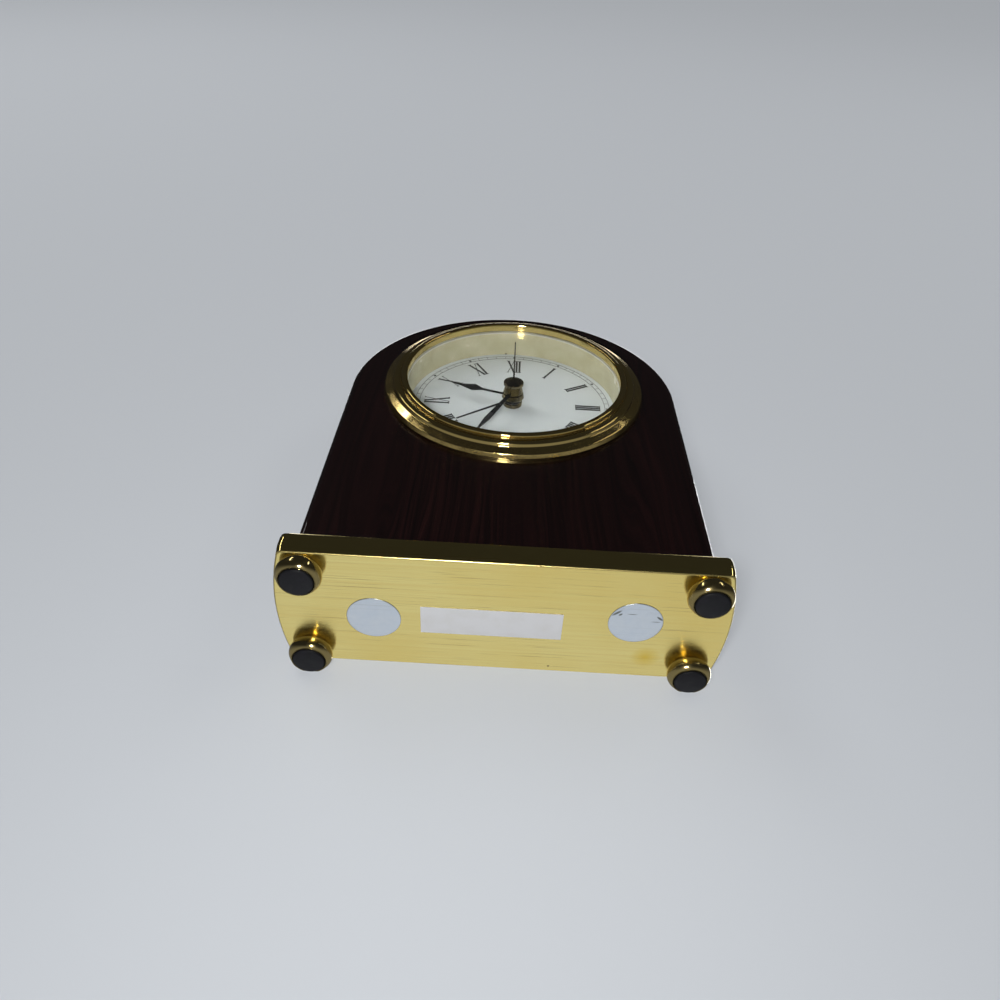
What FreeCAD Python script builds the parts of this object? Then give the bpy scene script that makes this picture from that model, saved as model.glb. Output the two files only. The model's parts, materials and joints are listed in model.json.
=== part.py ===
import FreeCAD, Part
import Sketcher
import math
import os

# Arch-top desk alarm clock on a brass plate, in millimetres.
# X is to the right and Y to the back as the clock faces the viewer, and Z is up.
# The origin is on the table, under the middle of the plate.

# Driving sizes, grouped by the piece that carries them
SIZES = {
    # Brass plate, feet, and what is stuck or screwed under the plate
    "base_margin": 5.3,
    "base_end_bulge": 3.0,
    "base_thickness": 7.7,
    "base_corner_round": 2.0,
    "base_top_round": 0.6,
    "base_rim_round": 0.4,
    "foot_height": 6.1,
    "foot_end_inset": 9.1,
    "foot_row_inset": 5.7,
    "foot_diameter": 12.5,
    "foot_top_diameter": 9.4,
    "foot_rim_diameter": 9.9,
    "pad_diameter": 9.1,
    "pad_proud": 0.9,
    "pad_depth": 2.4,
    "pad_round": 0.7,
    "foot_stud_diameter": 3.0,
    "foot_stud_length": 4.0,
    "screw_spacing": 72.8,
    "screw_head_diameter": 7.6,
    "screw_head_height": 2.6,
    "screw_shank_diameter": 3.8,
    "screw_length": 22.0,
    "screw_socket_width": 1.2,
    "screw_socket_depth": 1.1,
    "screw_bore_diameter": 4.4,
    "counterbore_diameter": 9.0,
    "counterbore_depth": 3.4,
    "cover_diameter": 15.2,
    "cover_thickness": 0.15,
    "left_cover_shift": 0.5,
    "left_cover_back": 1.9,
    "right_cover_shift": 0.4,
    "right_cover_front": 1.8,
    "label_width": 39.6,
    "label_depth": 10.2,
    "label_thickness": 0.12,
    "label_across": 3.0,
    "label_back": 1.6,
    # Wooden case
    "case_width": 116.4,
    "case_depth": 32.0,
    "arch_height": 103.6,
    "case_edge_round": 1.6,
    "bore_diameter": 85.0,
    "dial_rise": 2.6,
    # Bezel, lens and what lies behind the glass
    "bezel_lap": 4.4,
    "bezel_rim_width": 2.6,
    "bezel_bead_proud": 5.7,
    "bezel_roll_proud": 4.4,
    "bezel_step_proud": 3.2,
    "bezel_rim_proud": 2.2,
    "bezel_edge_height": 0.9,
    "bead_width": 2.3,
    "cove_width": 0.5,
    "cove_proud": 4.3,
    "roll_width": 2.1,
    "bead_round": 0.8,
    "roll_round": 0.8,
    "rim_round": 0.7,
    "lens_lap": 0.8,
    "lens_gap": 0.1,
    "lens_thickness": 1.6,
    "lens_front": 3.0,
    "seal_width": 0.8,
    "seal_thickness": 0.6,
    "flange_lap": 1.5,
    "flange_thickness": 0.8,
    "reflector_step": 0.2,
    "reflector_taper": 0.6,
    "reflector_wall": 1.2,
    "reflector_lip": 0.8,
    "dial_setback": 8.35,
    "dial_edge_gap": 0.4,
    "dial_thickness": 0.4,
    "print_thickness": 0.06,
    "numeral_height": 9.2,
    "numeral_gap": 1.7,
    "numeral_stroke": 0.78,
    "numeral_hairline": 0.26,
    "numeral_pitch": 1.15,
    "numeral_cross_width": 3.2,
    "numeral_serif": 0.3,
    "track_margin": 1.7,
    "track_width": 1.8,
    "track_line": 0.14,
    "track_tick": 0.12,
    "track_dot_diameter": 1.0,
    # Hands and the tubes that carry them, counted from the dial's face
    "nose_proud": 1.3,
    "nut_diameter": 7.0,
    "nut_height": 1.5,
    "nut_round": 0.3,
    "tube_end": 0.15,
    "nut_to_alarm_gap": 0.25,
    "alarm_to_hour_gap": 0.7,
    "hour_to_minute_gap": 0.25,
    "minute_to_second_gap": 0.25,
    "blade_thickness": 0.4,
    "blade_rise": 0.2,
    "alarm_hand_length": 24.6,
    "alarm_hand_width": 0.8,
    "alarm_boss_diameter": 6.4,
    "alarm_boss_height": 0.6,
    "hour_hand_length": 23.6,
    "hour_hand_width": 0.95,
    "hour_spade_width": 3.3,
    "hour_spade_middle": 15.3,
    "hour_boss_diameter": 8.2,
    "hour_boss_top_diameter": 7.5,
    "hour_boss_height": 1.6,
    "minute_hand_length": 32.0,
    "minute_hand_width": 1.25,
    "minute_lance_width": 2.1,
    "minute_lance_middle": 21.0,
    "minute_boss_diameter": 7.3,
    "minute_boss_top_diameter": 6.1,
    "minute_boss_height": 2.7,
    "second_hand_length": 31.8,
    "second_hand_width": 0.7,
    "second_cap_diameter": 7.3,
    "second_cap_height": 1.1,
    "second_cap_wall": 0.3,
    "cap_round": 0.35,
    "arbor_radius": 0.4,
    "cannon_bore": 0.45,
    "cannon_radius": 0.95,
    "hour_bore": 1.0,
    "hour_radius": 1.6,
    "alarm_bore": 1.65,
    "alarm_radius": 2.2,
    "nose_bore": 2.25,
    "nose_radius": 2.9,
    "hand_grip_gap": 0.02,
    "minute_angle": 204.0,
    "hour_angle": 287.0,
    "alarm_angle": 232.8,
    # Insert housing, its grip ring and its back
    "housing_wall": 1.0,
    "housing_gap": 0.6,
    "cover_room": 4.3,
    "bulkhead_thickness": 1.5,
    "grip_ring_setback": 10.0,
    "grip_ring_width": 8.0,
    "grip_rib_width": 1.2,
    "grip_gap": 0.05,
    "boss_diameter": 6.0,
    "boss_sink": 0.4,
    "boss_angle": 25.0,
    "cover_plate_thickness": 1.5,
    "cover_gap": 0.2,
    "back_screw_diameter": 1.7,
    "back_screw_head": 3.4,
    "back_screw_head_height": 0.8,
    "back_screw_length": 8.0,
    "screw_clearance": 0.25,
    "thread_gap": 0.05,
    "sound_hole_diameter": 1.6,
    "sound_hole_circle": 4.4,
    # Battery, its tray and door
    "battery_diameter": 14.5,
    "battery_length": 49.5,
    "battery_nub_length": 1.0,
    "battery_nub_diameter": 5.4,
    "tray_gap": 0.2,
    "battery_room": 0.35,
    "tray_half_length": 26.2,
    "tray_wall": 0.9,
    "contact_thickness": 0.4,
    "contact_width": 7.0,
    "door_thickness": 1.0,
    "door_lip": 0.8,
    "door_gap": 0.15,
    "door_rib_height": 1.0,
    "door_rib_thickness": 1.0,
    "door_rib_length": 9.0,
    "door_rib_offset": 14.0,
    "door_grip_height": 0.5,
    "door_grip_width": 1.0,
    "door_grip_length": 10.0,
    # Movement plates and what is fixed between them
    "plate_half_width": 26.0,
    "plate_top": 29.0,
    "plate_bottom": 13.1,
    "front_plate_thickness": 1.2,
    "rear_plate_thickness": 1.2,
    "pillar_diameter": 4.0,
    "lower_pillar_side_inset": 2.5,
    "lower_pillar_inset": 2.1,
    "upper_pillar_side_inset": 4.5,
    "upper_pillar_inset": 3.0,
    "plate_screw_diameter": 1.6,
    "plate_screw_head": 3.2,
    "plate_screw_head_height": 1.0,
    "plate_screw_length": 5.0,
    "wheel_arbor_radius": 0.5,
    "pivot_gap": 0.05,
    "arbor_end_gap": 0.1,
    "knob_arbor_radius": 1.0,
    "rotor_post_radius": 1.5,
    # Wheels and pinions: modules, widths, gaps between their layers, and directions of their axes
    "setting_module": 0.5,
    "going_module": 0.36,
    "first_layer_gap": 0.15,
    "setting_layer_gap": 0.3,
    "going_layer_gap": 0.5,
    "wheel_width": 0.8,
    "setting_wheel_width": 1.0,
    "pinion_overlap": 0.1,
    "centre_bore_gap": 0.05,
    "rotor_magnet_radius": 2.0,
    "rotor_magnet_width": 2.2,
    "motion_direction": 165.0,
    "third_direction": 100.0,
    "intermediate_direction": 20.0,
    "rotor_direction": 80.0,
    "time_direction": 230.9,
    "alarm_direction": -24.4,
    # Stepping motor, circuit board and buzzer
    "stator_gap": 1.2,
    "stator_thickness": 0.8,
    "stator_hole_radius": 2.4,
    "stator_left": 16.0,
    "pillar_gap": 0.3,
    "stator_low": 9.0,
    "stator_bar_top": 16.6,
    "stator_leg_width": 5.0,
    "stator_arbor_hole_radius": 1.2,
    "stator_post_radius": 1.3,
    "stator_post_height": 1.8,
    "core_height": 3.0,
    "core_thickness": 0.8,
    "core_up": 24.0,
    "winding_radius": 2.6,
    "bobbin_gap": 1.0,
    "bobbin_wall": 0.5,
    "bobbin_flange": 0.8,
    "bobbin_flange_height": 6.4,
    "bobbin_flange_depth": 5.2,
    "board_left": 25.2,
    "board_width": 7.6,
    "board_low": -2.0,
    "board_height": 22.0,
    "board_thickness": 1.0,
    "chip_size": 4.6,
    "chip_height": 0.9,
    "chip_up": 12.0,
    "crystal_diameter": 2.0,
    "crystal_length": 6.0,
    "crystal_up": 1.5,
    "buzzer_diameter": 22.0,
    "buzzer_height": 2.5,
    "buzzer_up": 8.6,
    "buzzer_left": 2.4,
    # Knobs and switch on the back
    "knob_diameter": 10.0,
    "knob_height": 4.2,
    "knob_stand_off": 0.8,
    "knob_round": 0.5,
    "switch_up": 27.0,
    "switch_travel": 4.0,
    "switch_stem_length": 3.0,
    "switch_stem_width": 2.6,
    "switch_gap": 0.2,
    "switch_flange_length": 9.0,
    "switch_flange_width": 5.4,
    "switch_flange_thickness": 0.8,
    "switch_knob_length": 5.6,
    "switch_knob_width": 4.2,
    "switch_knob_height": 1.8,
    # One overrun for cuts
    "overrun": 1.0,
}

# Tooth counts
CANNON_TEETH = 12
MOTION_WHEEL_TEETH = 36
MOTION_PINION_TEETH = 10
HOUR_WHEEL_TEETH = 40
TIME_PINION_TEETH = 12
ALARM_WHEEL_TEETH = 40
ALARM_PINION_TEETH = 20
SECOND_WHEEL_TEETH = 60
SECOND_PINION_TEETH = 8
THIRD_WHEEL_TEETH = 60
THIRD_PINION_TEETH = 8
CENTRE_WHEEL_TEETH = 64
INTERMEDIATE_WHEEL_TEETH = 40
INTERMEDIATE_PINION_TEETH = 10
ROTOR_PINION_TEETH = 8
KNOB_RIDGES = 30
GRIP_RIBS = 3
SOUND_HOLES = 6

# Tooth form, as shares of the module or of the tooth pitch
ADDENDUM_SHARE = 0.85
DEDENDUM_SHARE = 1.2
TOOTH_SHARE = 0.43
WAIST_SHARE = 0.8
PRESSURE_ANGLE = math.radians(20.0)

# Sketcher's own numbers for a sketch's axes, its origin and the points of an edge
HORIZONTAL_AXIS = -1
VERTICAL_AXIS = -2
ORIGIN = -1
START = 1
END = 2
CENTRE = 3

FULL_TURN = 360.0
MINUTES = 60
HOURS = 12


class Size:
    """A length together with the sheet expression that gives it."""

    def __init__(self, value, text):
        self.value = value
        self.text = text

    def joined(self, sign, other, value):
        other_text = other.text if isinstance(other, Size) else repr(other)
        return Size(value, f"({self.text} {sign} {other_text})")

    def __add__(self, other):
        return self.joined("+", other, self.value + number(other))

    def __sub__(self, other):
        return self.joined("-", other, self.value - number(other))

    def __mul__(self, other):
        return self.joined("*", other, self.value * number(other))

    def __truediv__(self, other):
        return self.joined("/", other, self.value / number(other))

    def __neg__(self):
        return Size(-self.value, f"(0 - {self.text})")


def number(size):
    """The plain number of a size or of a number."""
    return size.value if isinstance(size, Size) else float(size)


def cosine(angle):
    """The cosine of an angle that the sheet holds in degrees."""
    return Size(math.cos(math.radians(angle.value)), f"cos({angle.text})")


def sine(angle):
    return Size(math.sin(math.radians(angle.value)), f"sin({angle.text})")


class Sheet:
    """The spreadsheet of driving sizes: sheet.base_width gives a Size."""

    def __init__(self, document, table):
        self.cells = document.addObject("Spreadsheet::Sheet", "sizes")
        for row, (alias, value) in enumerate(table.items(), start=1):
            self.cells.set(f"A{row}", alias)
            self.cells.set(f"B{row}", str(value))
            self.cells.setAlias(f"B{row}", alias)
        document.recompute()

    def __getattr__(self, alias):
        return Size(float(getattr(self.cells, alias)), f"sizes.{alias}")


document = FreeCAD.newDocument("ArchClock")
s = Sheet(document, SIZES)
nodes = []


# General helpers

def bind(item, field, size):
    """Gives a property its value and, for a size, the expression behind it."""
    if isinstance(size, Size):
        item.setExpression(field, size.text)


def place(item, across=0, back=0, up=0, turn=None):
    """Puts a piece at a point given in sizes, turned by an optional rotation."""
    rotation = turn or FreeCAD.Rotation()
    item.Placement = FreeCAD.Placement(
        FreeCAD.Vector(number(across), number(back), number(up)), rotation
    )
    bind(item, "Placement.Base.x", across)
    bind(item, "Placement.Base.y", back)
    bind(item, "Placement.Base.z", up)
    return item


def node(item, name):
    """Names a piece for its file and keeps it for the export."""
    item.Label = name
    nodes.append(item)
    return item


def origin_plane(body, role):
    """One of a body's own origin planes, found by its role."""
    return next(f for f in body.Origin.OriginFeatures if f.Role == role)


def new_body(name):
    return document.addObject("PartDesign::Body", name)


def new_sketch(body, name, role):
    sketch = body.newObject("Sketcher::SketchObject", name)
    sketch.AttachmentSupport = [(origin_plane(body, role), "")]
    sketch.MapMode = "FlatFace"
    return sketch


def tie(sketch, geometry, point, kind, size):
    """Ties one coordinate of a sketch point to its distance from the sketch's origin."""
    if isinstance(size, Size):
        index = sketch.addConstraint(
            Sketcher.Constraint(kind, ORIGIN, START, geometry, point, size.value)
        )
        sketch.setExpression(f"Constraints[{index}]", size.text)
    else:
        axis = VERTICAL_AXIS if kind == "DistanceX" else HORIZONTAL_AXIS
        sketch.addConstraint(Sketcher.Constraint("PointOnObject", geometry, point, axis))


def tie_point(sketch, geometry, point, across, up):
    tie(sketch, geometry, point, "DistanceX", across)
    tie(sketch, geometry, point, "DistanceY", up)


def flat_point(across, up):
    return FreeCAD.Vector(number(across), number(up), 0)


def add_loop(sketch, corners):
    """Adds a closed outline of corners (across, up); an arc starts at (across, up, centre, middle)."""
    first = sketch.GeometryCount
    count = len(corners)
    for index, corner in enumerate(corners):
        after = corners[(index + 1) % count]
        start = flat_point(corner[0], corner[1])
        stop = flat_point(after[0], after[1])
        if len(corner) > 2:
            edge = Part.Arc(start, flat_point(*corner[3]), stop)
        else:
            edge = Part.LineSegment(start, stop)
        sketch.addGeometry(edge, False)
    for index, corner in enumerate(corners):
        edge = first + index
        before = first + (index - 1) % count
        point = flat_point(corner[0], corner[1])
        edge_start = nearest_end(sketch.Geometry[edge], point)
        before_end = nearest_end(sketch.Geometry[before], point)
        tie_point(sketch, edge, edge_start, corner[0], corner[1])
        sketch.addConstraint(
            Sketcher.Constraint("Coincident", before, before_end, edge, edge_start)
        )
        if len(corner) > 2:
            tie_centre(sketch, edge, corner, corners[(index + 1) % count])


def tie_centre(sketch, arc, corner, after):
    """Ties the one coordinate of an arc's centre that its two ends leave free."""
    run = abs(number(after[0]) - number(corner[0]))
    rise = abs(number(after[1]) - number(corner[1]))
    if run > rise:
        tie(sketch, arc, CENTRE, "DistanceY", corner[2][1])
    else:
        tie(sketch, arc, CENTRE, "DistanceX", corner[2][0])


def arc_middle(centre, start, stop):
    """The point halfway along the shorter arc between two points about a centre."""
    hub = flat_point(*centre)
    spoke = flat_point(*start) - hub
    middle = (spoke + flat_point(*stop) - hub).normalize() * spoke.Length + hub
    return middle.x, middle.y


def nearest_end(edge, point):
    """Which end of a line or an arc lies at a point."""
    start_gap = edge.StartPoint.distanceToPoint(point)
    end_gap = edge.EndPoint.distanceToPoint(point)
    return START if start_gap < end_gap else END


def add_circle(sketch, across, up, radius):
    """Adds a circle with its centre and radius tied to sizes."""
    circle = Part.Circle(
        flat_point(across, up), FreeCAD.Vector(0, 0, 1), number(radius)
    )
    index = sketch.addGeometry(circle, False)
    tie_point(sketch, index, CENTRE, across, up)
    constraint = sketch.addConstraint(
        Sketcher.Constraint("Radius", index, number(radius))
    )
    sketch.setExpression(f"Constraints[{constraint}]", radius.text)


def rectangle(left, right, low, high):
    return [(left, low), (right, low), (right, high), (left, high)]


def offset_along_normal(sketch, distance):
    """Moves a sketch off its plane, along the plane's own normal."""
    sketch.AttachmentOffset = FreeCAD.Placement(
        FreeCAD.Vector(0, 0, number(distance)), FreeCAD.Rotation()
    )
    bind(sketch, "AttachmentOffset.Base.z", distance)


def offset_to_back(sketch, distance):
    """Moves a sketch of the XZ plane to the back: that plane's normal points to the front."""
    offset_along_normal(sketch, -distance)


def pad(body, sketch, name, length, to_back):
    """Pads a sketch of the XZ plane to the back or to the front, or one of the XY plane up or down."""
    feature = body.newObject("PartDesign::Pad", name)
    feature.Profile = sketch
    feature.Length = length.value
    feature.setExpression("Length", length.text)
    feature.Reversed = to_back
    body.Tip = feature
    return feature


def pocket(body, sketch, name, depth, reverse):
    """Cuts a sketch into a body, and checks that it took material away."""
    document.recompute()
    before = body.Shape.Volume
    feature = body.newObject("PartDesign::Pocket", name)
    feature.Profile = sketch
    feature.Length = depth.value
    feature.setExpression("Length", depth.text)
    feature.Reversed = reverse
    body.Tip = feature
    document.recompute()
    if not body.Shape.Volume < before:
        raise ValueError(f"{name} cuts nothing")
    return feature


def revolve(body, sketch, name, axis):
    feature = body.newObject("PartDesign::Revolution", name)
    feature.Profile = sketch
    feature.ReferenceAxis = (sketch, [axis])
    feature.Angle = FULL_TURN
    body.Tip = feature
    return feature


def fillet(body, name, radius, chosen):
    """Rounds the edges of a body's tip that a test picks."""
    document.recompute()
    base = body.Tip
    names = [
        f"Edge{index}"
        for index, edge in enumerate(base.Shape.Edges, start=1)
        if chosen(edge)
    ]
    if not names:
        raise ValueError(f"{name} finds no edge")
    feature = body.newObject("PartDesign::Fillet", name)
    feature.Base = (base, names)
    feature.Radius = radius.value
    feature.setExpression("Radius", radius.text)
    body.Tip = feature
    return feature


def turned_about_y(name, outline):
    """A body turned about the dial's axis: the outline's points are (back, radius)."""
    body = new_body(name)
    sketch = new_sketch(body, name + "_profile", "YZ_Plane")
    add_loop(sketch, outline)
    revolve(body, sketch, name + "_turn", "H_Axis")
    return body


def turned_about_z(name, outline):
    """A body turned about a vertical axis: the outline's points are (radius, up)."""
    body = new_body(name)
    sketch = new_sketch(body, name + "_profile", "XZ_Plane")
    add_loop(sketch, outline)
    revolve(body, sketch, name + "_turn", "V_Axis")
    return body


def slab_to_back(name, thickness, loops=(), circles=()):
    """A flat piece that faces the viewer: its outline and holes, padded to the back."""
    body = new_body(name)
    sketch = new_sketch(body, name + "_outline", "XZ_Plane")
    for loop in loops:
        add_loop(sketch, loop)
    for circle in circles:
        add_circle(sketch, *circle)
    pad(body, sketch, name + "_pad", thickness, True)
    return body


def block(name, width, depth, height, across, back, up):
    """A plain box, with the point of its left, front, lower corner."""
    box = document.addObject("Part::Box", name)
    for field, size in (("Length", width), ("Width", depth), ("Height", height)):
        setattr(box, field, size.value)
        box.setExpression(field, size.text)
    return place(box, across, back, up)


def rod(name, radius, length, across, back, up, turn=None):
    """A plain cylinder from a point, along Z unless it is turned."""
    cylinder = document.addObject("Part::Cylinder", name)
    cylinder.Radius = radius.value
    cylinder.setExpression("Radius", radius.text)
    cylinder.Height = length.value
    cylinder.setExpression("Height", length.text)
    return place(cylinder, across, back, up, turn)


def compound(name, parts):
    group = document.addObject("Part::Compound", name)
    group.Links = parts
    return group


def radius_near(radius, back=None, back_of=None):
    """A test for round edges of a given radius about the dial's axis, at a given distance back."""
    def chosen(edge):
        curve = edge.Curve
        if not isinstance(curve, Part.Circle):
            return False
        if not math.isclose(curve.Radius, radius.value, abs_tol=CLOSE):
            return False
        if back is None:
            return True
        return math.isclose(curve.Center.y, number(back), abs_tol=CLOSE)
    return chosen


CLOSE = 1e-4
QUARTER_TURN = 90
TO_BACK = FreeCAD.Rotation(FreeCAD.Vector(1, 0, 0), -QUARTER_TURN)
TO_RIGHT = FreeCAD.Rotation(FreeCAD.Vector(0, 1, 0), QUARTER_TURN)

# Sizes and levels that several pieces share

base_top = s.foot_height + s.base_thickness
base_width = s.case_width + s.base_margin * 2
base_depth = s.case_depth + s.base_margin * 2
foot_across = base_width / 2 - s.foot_end_inset
foot_along = base_depth / 2 - s.foot_row_inset
screw_across = s.screw_spacing / 2
dial_height = s.arch_height + s.dial_rise
case_front = -s.case_depth / 2

housing_radius = s.bore_diameter / 2 - s.housing_gap
housing_bore = housing_radius - s.housing_wall
flange_radius = s.bore_diameter / 2 + s.flange_lap
opening_radius = s.bore_diameter / 2 - s.bezel_lap
lens_radius = opening_radius + s.lens_lap
reflector_front_radius = opening_radius + s.reflector_step
reflector_back_radius = reflector_front_radius - s.reflector_taper
lens_front = case_front - s.lens_front
lens_back = lens_front + s.lens_thickness
seal_back = lens_back + s.seal_thickness

dial_face = case_front + s.dial_setback
dial_back = dial_face + s.dial_thickness
bulkhead_back = dial_back + s.bulkhead_thickness
front_plate_back = bulkhead_back + s.front_plate_thickness

# Heights above the dial of each hand and of the tube that carries it
alarm_hand_level = s.nut_height + s.nut_to_alarm_gap
alarm_tube_proud = alarm_hand_level + s.alarm_boss_height + s.tube_end
hour_hand_level = alarm_tube_proud + s.alarm_to_hour_gap
hour_tube_proud = hour_hand_level + s.hour_boss_height + s.tube_end
minute_hand_level = hour_tube_proud + s.hour_to_minute_gap
cannon_tube_proud = minute_hand_level + s.minute_boss_height + s.tube_end
second_hand_level = cannon_tube_proud + s.minute_to_second_gap
arbor_proud = second_hand_level + s.second_cap_height / 2

# Front faces of the wheels, layer by layer
setting_step = s.setting_wheel_width + s.setting_layer_gap
going_step = s.wheel_width + s.going_layer_gap
alarm_wheel_front = front_plate_back + s.first_layer_gap
hour_wheel_front = alarm_wheel_front + setting_step
motion_wheel_front = hour_wheel_front + setting_step
centre_wheel_front = motion_wheel_front + setting_step
third_wheel_front = centre_wheel_front + going_step
second_wheel_front = third_wheel_front + going_step
intermediate_wheel_front = second_wheel_front + going_step
stator_front = intermediate_wheel_front + s.wheel_width + s.stator_gap
rear_plate_front = stator_front + s.stator_thickness + s.stator_post_height
rear_plate_back = rear_plate_front + s.rear_plate_thickness
cover_front = rear_plate_back + s.cover_room
housing_back = cover_front + s.cover_plate_thickness

# Battery, from its door and from the movement above it
door_front = housing_back - s.door_thickness
battery_rear = door_front - s.door_rib_height - s.door_gap
battery_back = battery_rear - s.battery_diameter / 2
battery_reach = s.battery_diameter / 2 + s.battery_room
tray_front = battery_back - battery_reach
battery_drop = s.plate_bottom + s.tray_gap + s.tray_wall + battery_reach

# Pillars between the plates, and the stator between the pillars
lower_pillar_across = s.plate_half_width - s.lower_pillar_side_inset
lower_pillar_down = s.plate_bottom - s.lower_pillar_inset
upper_pillar_across = s.plate_half_width - s.upper_pillar_side_inset
upper_pillar_up = s.plate_top - s.upper_pillar_inset
stator_right = upper_pillar_across - s.pillar_diameter / 2 - s.pillar_gap
bobbin_left = s.stator_left - s.stator_leg_width - s.bobbin_gap
bobbin_right = stator_right - s.stator_leg_width - s.bobbin_gap


# Brass plate with its feet

def make_base_plate():
    """A thick plate with gently bowed ends, drilled for the feet and the case screws."""
    body = new_body("base_plate")
    sketch = new_sketch(body, "base_plate_outline", "XY_Plane")
    corner = base_width / 2 - s.base_end_bulge
    middle = base_width / 2
    deep = base_depth / 2
    end_radius = (deep * deep + s.base_end_bulge * s.base_end_bulge) / (s.base_end_bulge * 2)
    outline = [
        (-corner, -deep),
        (corner, -deep, (middle - end_radius, 0), (middle, 0)),
        (corner, deep),
        (-corner, deep, (end_radius - middle, 0), (-middle, 0)),
    ]
    add_loop(sketch, outline)
    pad(body, sketch, "base_plate_pad", s.base_thickness, False)

    def upright(edge):
        box = edge.BoundBox
        return max(box.XLength, box.YLength) < CLOSE

    fillet(body, "base_plate_corner_round", s.base_corner_round, upright)

    bores = new_sketch(body, "base_plate_bores", "XY_Plane")
    for side in (-1, 1):
        add_circle(bores, screw_across * side, 0, s.screw_bore_diameter / 2)
    pocket(body, bores, "base_plate_screw_bores", s.base_thickness + s.overrun, True)

    counterbores = new_sketch(body, "base_plate_counterbores", "XY_Plane")
    for side in (-1, 1):
        add_circle(counterbores, screw_across * side, 0, s.counterbore_diameter / 2)
    pocket(body, counterbores, "base_plate_counterbore_cut", s.counterbore_depth, True)

    studs = new_sketch(body, "base_plate_stud_holes", "XY_Plane")
    for across in (-1, 1):
        for along in (-1, 1):
            radius = s.foot_stud_diameter / 2 + s.thread_gap
            add_circle(studs, foot_across * across, foot_along * along, radius)
    pocket(body, studs, "base_plate_stud_cut", s.foot_stud_length + s.arbor_end_gap, True)

    def on_outline(edge, level):
        box = edge.BoundBox
        flat = math.isclose((box.ZMin + box.ZMax) / 2, level, abs_tol=CLOSE)
        return flat and box.ZLength < CLOSE and not full_circle(edge)

    top = s.base_thickness.value
    fillet(body, "base_plate_top_round", s.base_top_round, lambda e: on_outline(e, top))
    fillet(body, "base_plate_rim_round", s.base_rim_round, lambda e: on_outline(e, 0))
    place(body, 0, 0, s.foot_height)
    node(body, "base_plate")


def make_foot(name, across, back):
    """A turned brass bun with a stud into the plate and a recess for its pad."""
    rim = s.foot_rim_diameter / 2
    widest = s.foot_diameter / 2
    top = s.foot_top_diameter / 2
    recess = s.pad_diameter / 2 + s.thread_gap
    stud = s.foot_stud_diameter / 2
    belly = (s.foot_height + s.pad_proud) / 2
    rise = belly - s.pad_proud
    # Both arcs of the bun stand upright at its belly, so their centres are level with it
    lower_step = widest - rim
    upper_step = widest - top
    lower_radius = (rise * rise + lower_step * lower_step) / (lower_step * 2)
    upper_radius = (rise * rise + upper_step * upper_step) / (upper_step * 2)
    lower_centre = (widest - lower_radius, belly)
    upper_centre = (widest - upper_radius, belly)
    lower_middle = arc_middle(lower_centre, (rim, s.pad_proud), (widest, belly))
    upper_middle = arc_middle(upper_centre, (widest, belly), (top, s.foot_height))
    outline = [
        (0, s.pad_depth + s.thread_gap),
        (recess, s.pad_depth + s.thread_gap),
        (recess, s.pad_proud),
        (rim, s.pad_proud, lower_centre, lower_middle),
        (widest, belly, upper_centre, upper_middle),
        (top, s.foot_height),
        (stud, s.foot_height),
        (stud, s.foot_height + s.foot_stud_length),
        (0, s.foot_height + s.foot_stud_length),
    ]
    foot = turned_about_z(name, outline)
    place(foot, across, back, 0)
    node(foot, name)


def make_foot_pad(name, across, back):
    """A rubber disc, rounded below, that the clock stands on."""
    radius = s.pad_diameter / 2
    outline = [(0, 0), (radius, 0), (radius, s.pad_depth), (0, s.pad_depth)]
    pad_body = turned_about_z(name, outline)
    fillet(pad_body, name + "_round", s.pad_round, radius_at_height(radius, 0))
    place(pad_body, across, back, 0)
    node(pad_body, name)


def full_circle(edge):
    """Whether an edge is the whole rim of a round hole."""
    return isinstance(edge.Curve, Part.Circle) and edge.isClosed()


def radius_at_height(radius, height):
    """A test for level round edges of a given radius at a given height."""
    def chosen(edge):
        curve = edge.Curve
        if not isinstance(curve, Part.Circle):
            return False
        same_radius = math.isclose(curve.Radius, radius.value, abs_tol=CLOSE)
        return same_radius and math.isclose(curve.Center.z, height, abs_tol=CLOSE)
    return chosen


def make_feet():
    for row, along in (("front", -1), ("back", 1)):
        for side, across in (("left", -1), ("right", 1)):
            x = foot_across * across
            y = foot_along * along
            make_foot(f"foot_{row}_{side}", x, y)
            make_foot_pad(f"foot_pad_{row}_{side}", x, y)


def make_case_screws():
    """Two pan-head screws from the plate up into the case."""
    screws = []
    seat = s.foot_height + s.counterbore_depth
    for side, name in ((-1, "left"), (1, "right")):
        head = s.screw_head_diameter / 2
        shank = s.screw_shank_diameter / 2
        socket = s.screw_socket_width
        low = -s.screw_head_height
        outline = [
            (0, low + s.screw_socket_depth),
            (socket, low + s.screw_socket_depth),
            (socket, low),
            (head, low),
            (head, 0),
            (shank, 0),
            (shank, s.screw_length - shank),
            (0, s.screw_length),
        ]
        screw = turned_about_z(f"case_screw_{name}", outline)
        place(screw, screw_across * side, 0, seat)
        screws.append(screw)
    node(compound("case_screws", screws), "case_screws")


def make_stickers():
    """Two foil discs over the screw holes and a bare label between them."""
    low = s.foot_height - s.cover_thickness
    left = rod("screw_cover_left", s.cover_diameter / 2, s.cover_thickness,
               s.left_cover_shift - screw_across, s.left_cover_back, low)
    node(left, "screw_cover_left")
    right = rod("screw_cover_right", s.cover_diameter / 2, s.cover_thickness,
                screw_across + s.right_cover_shift, -s.right_cover_front, low)
    node(right, "screw_cover_right")
    label = block("blank_label", s.label_width, s.label_depth, s.label_thickness,
                  -s.label_across - s.label_width / 2,
                  s.label_back - s.label_depth / 2,
                  s.foot_height - s.label_thickness)
    node(label, "blank_label")


# Wooden case

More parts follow.
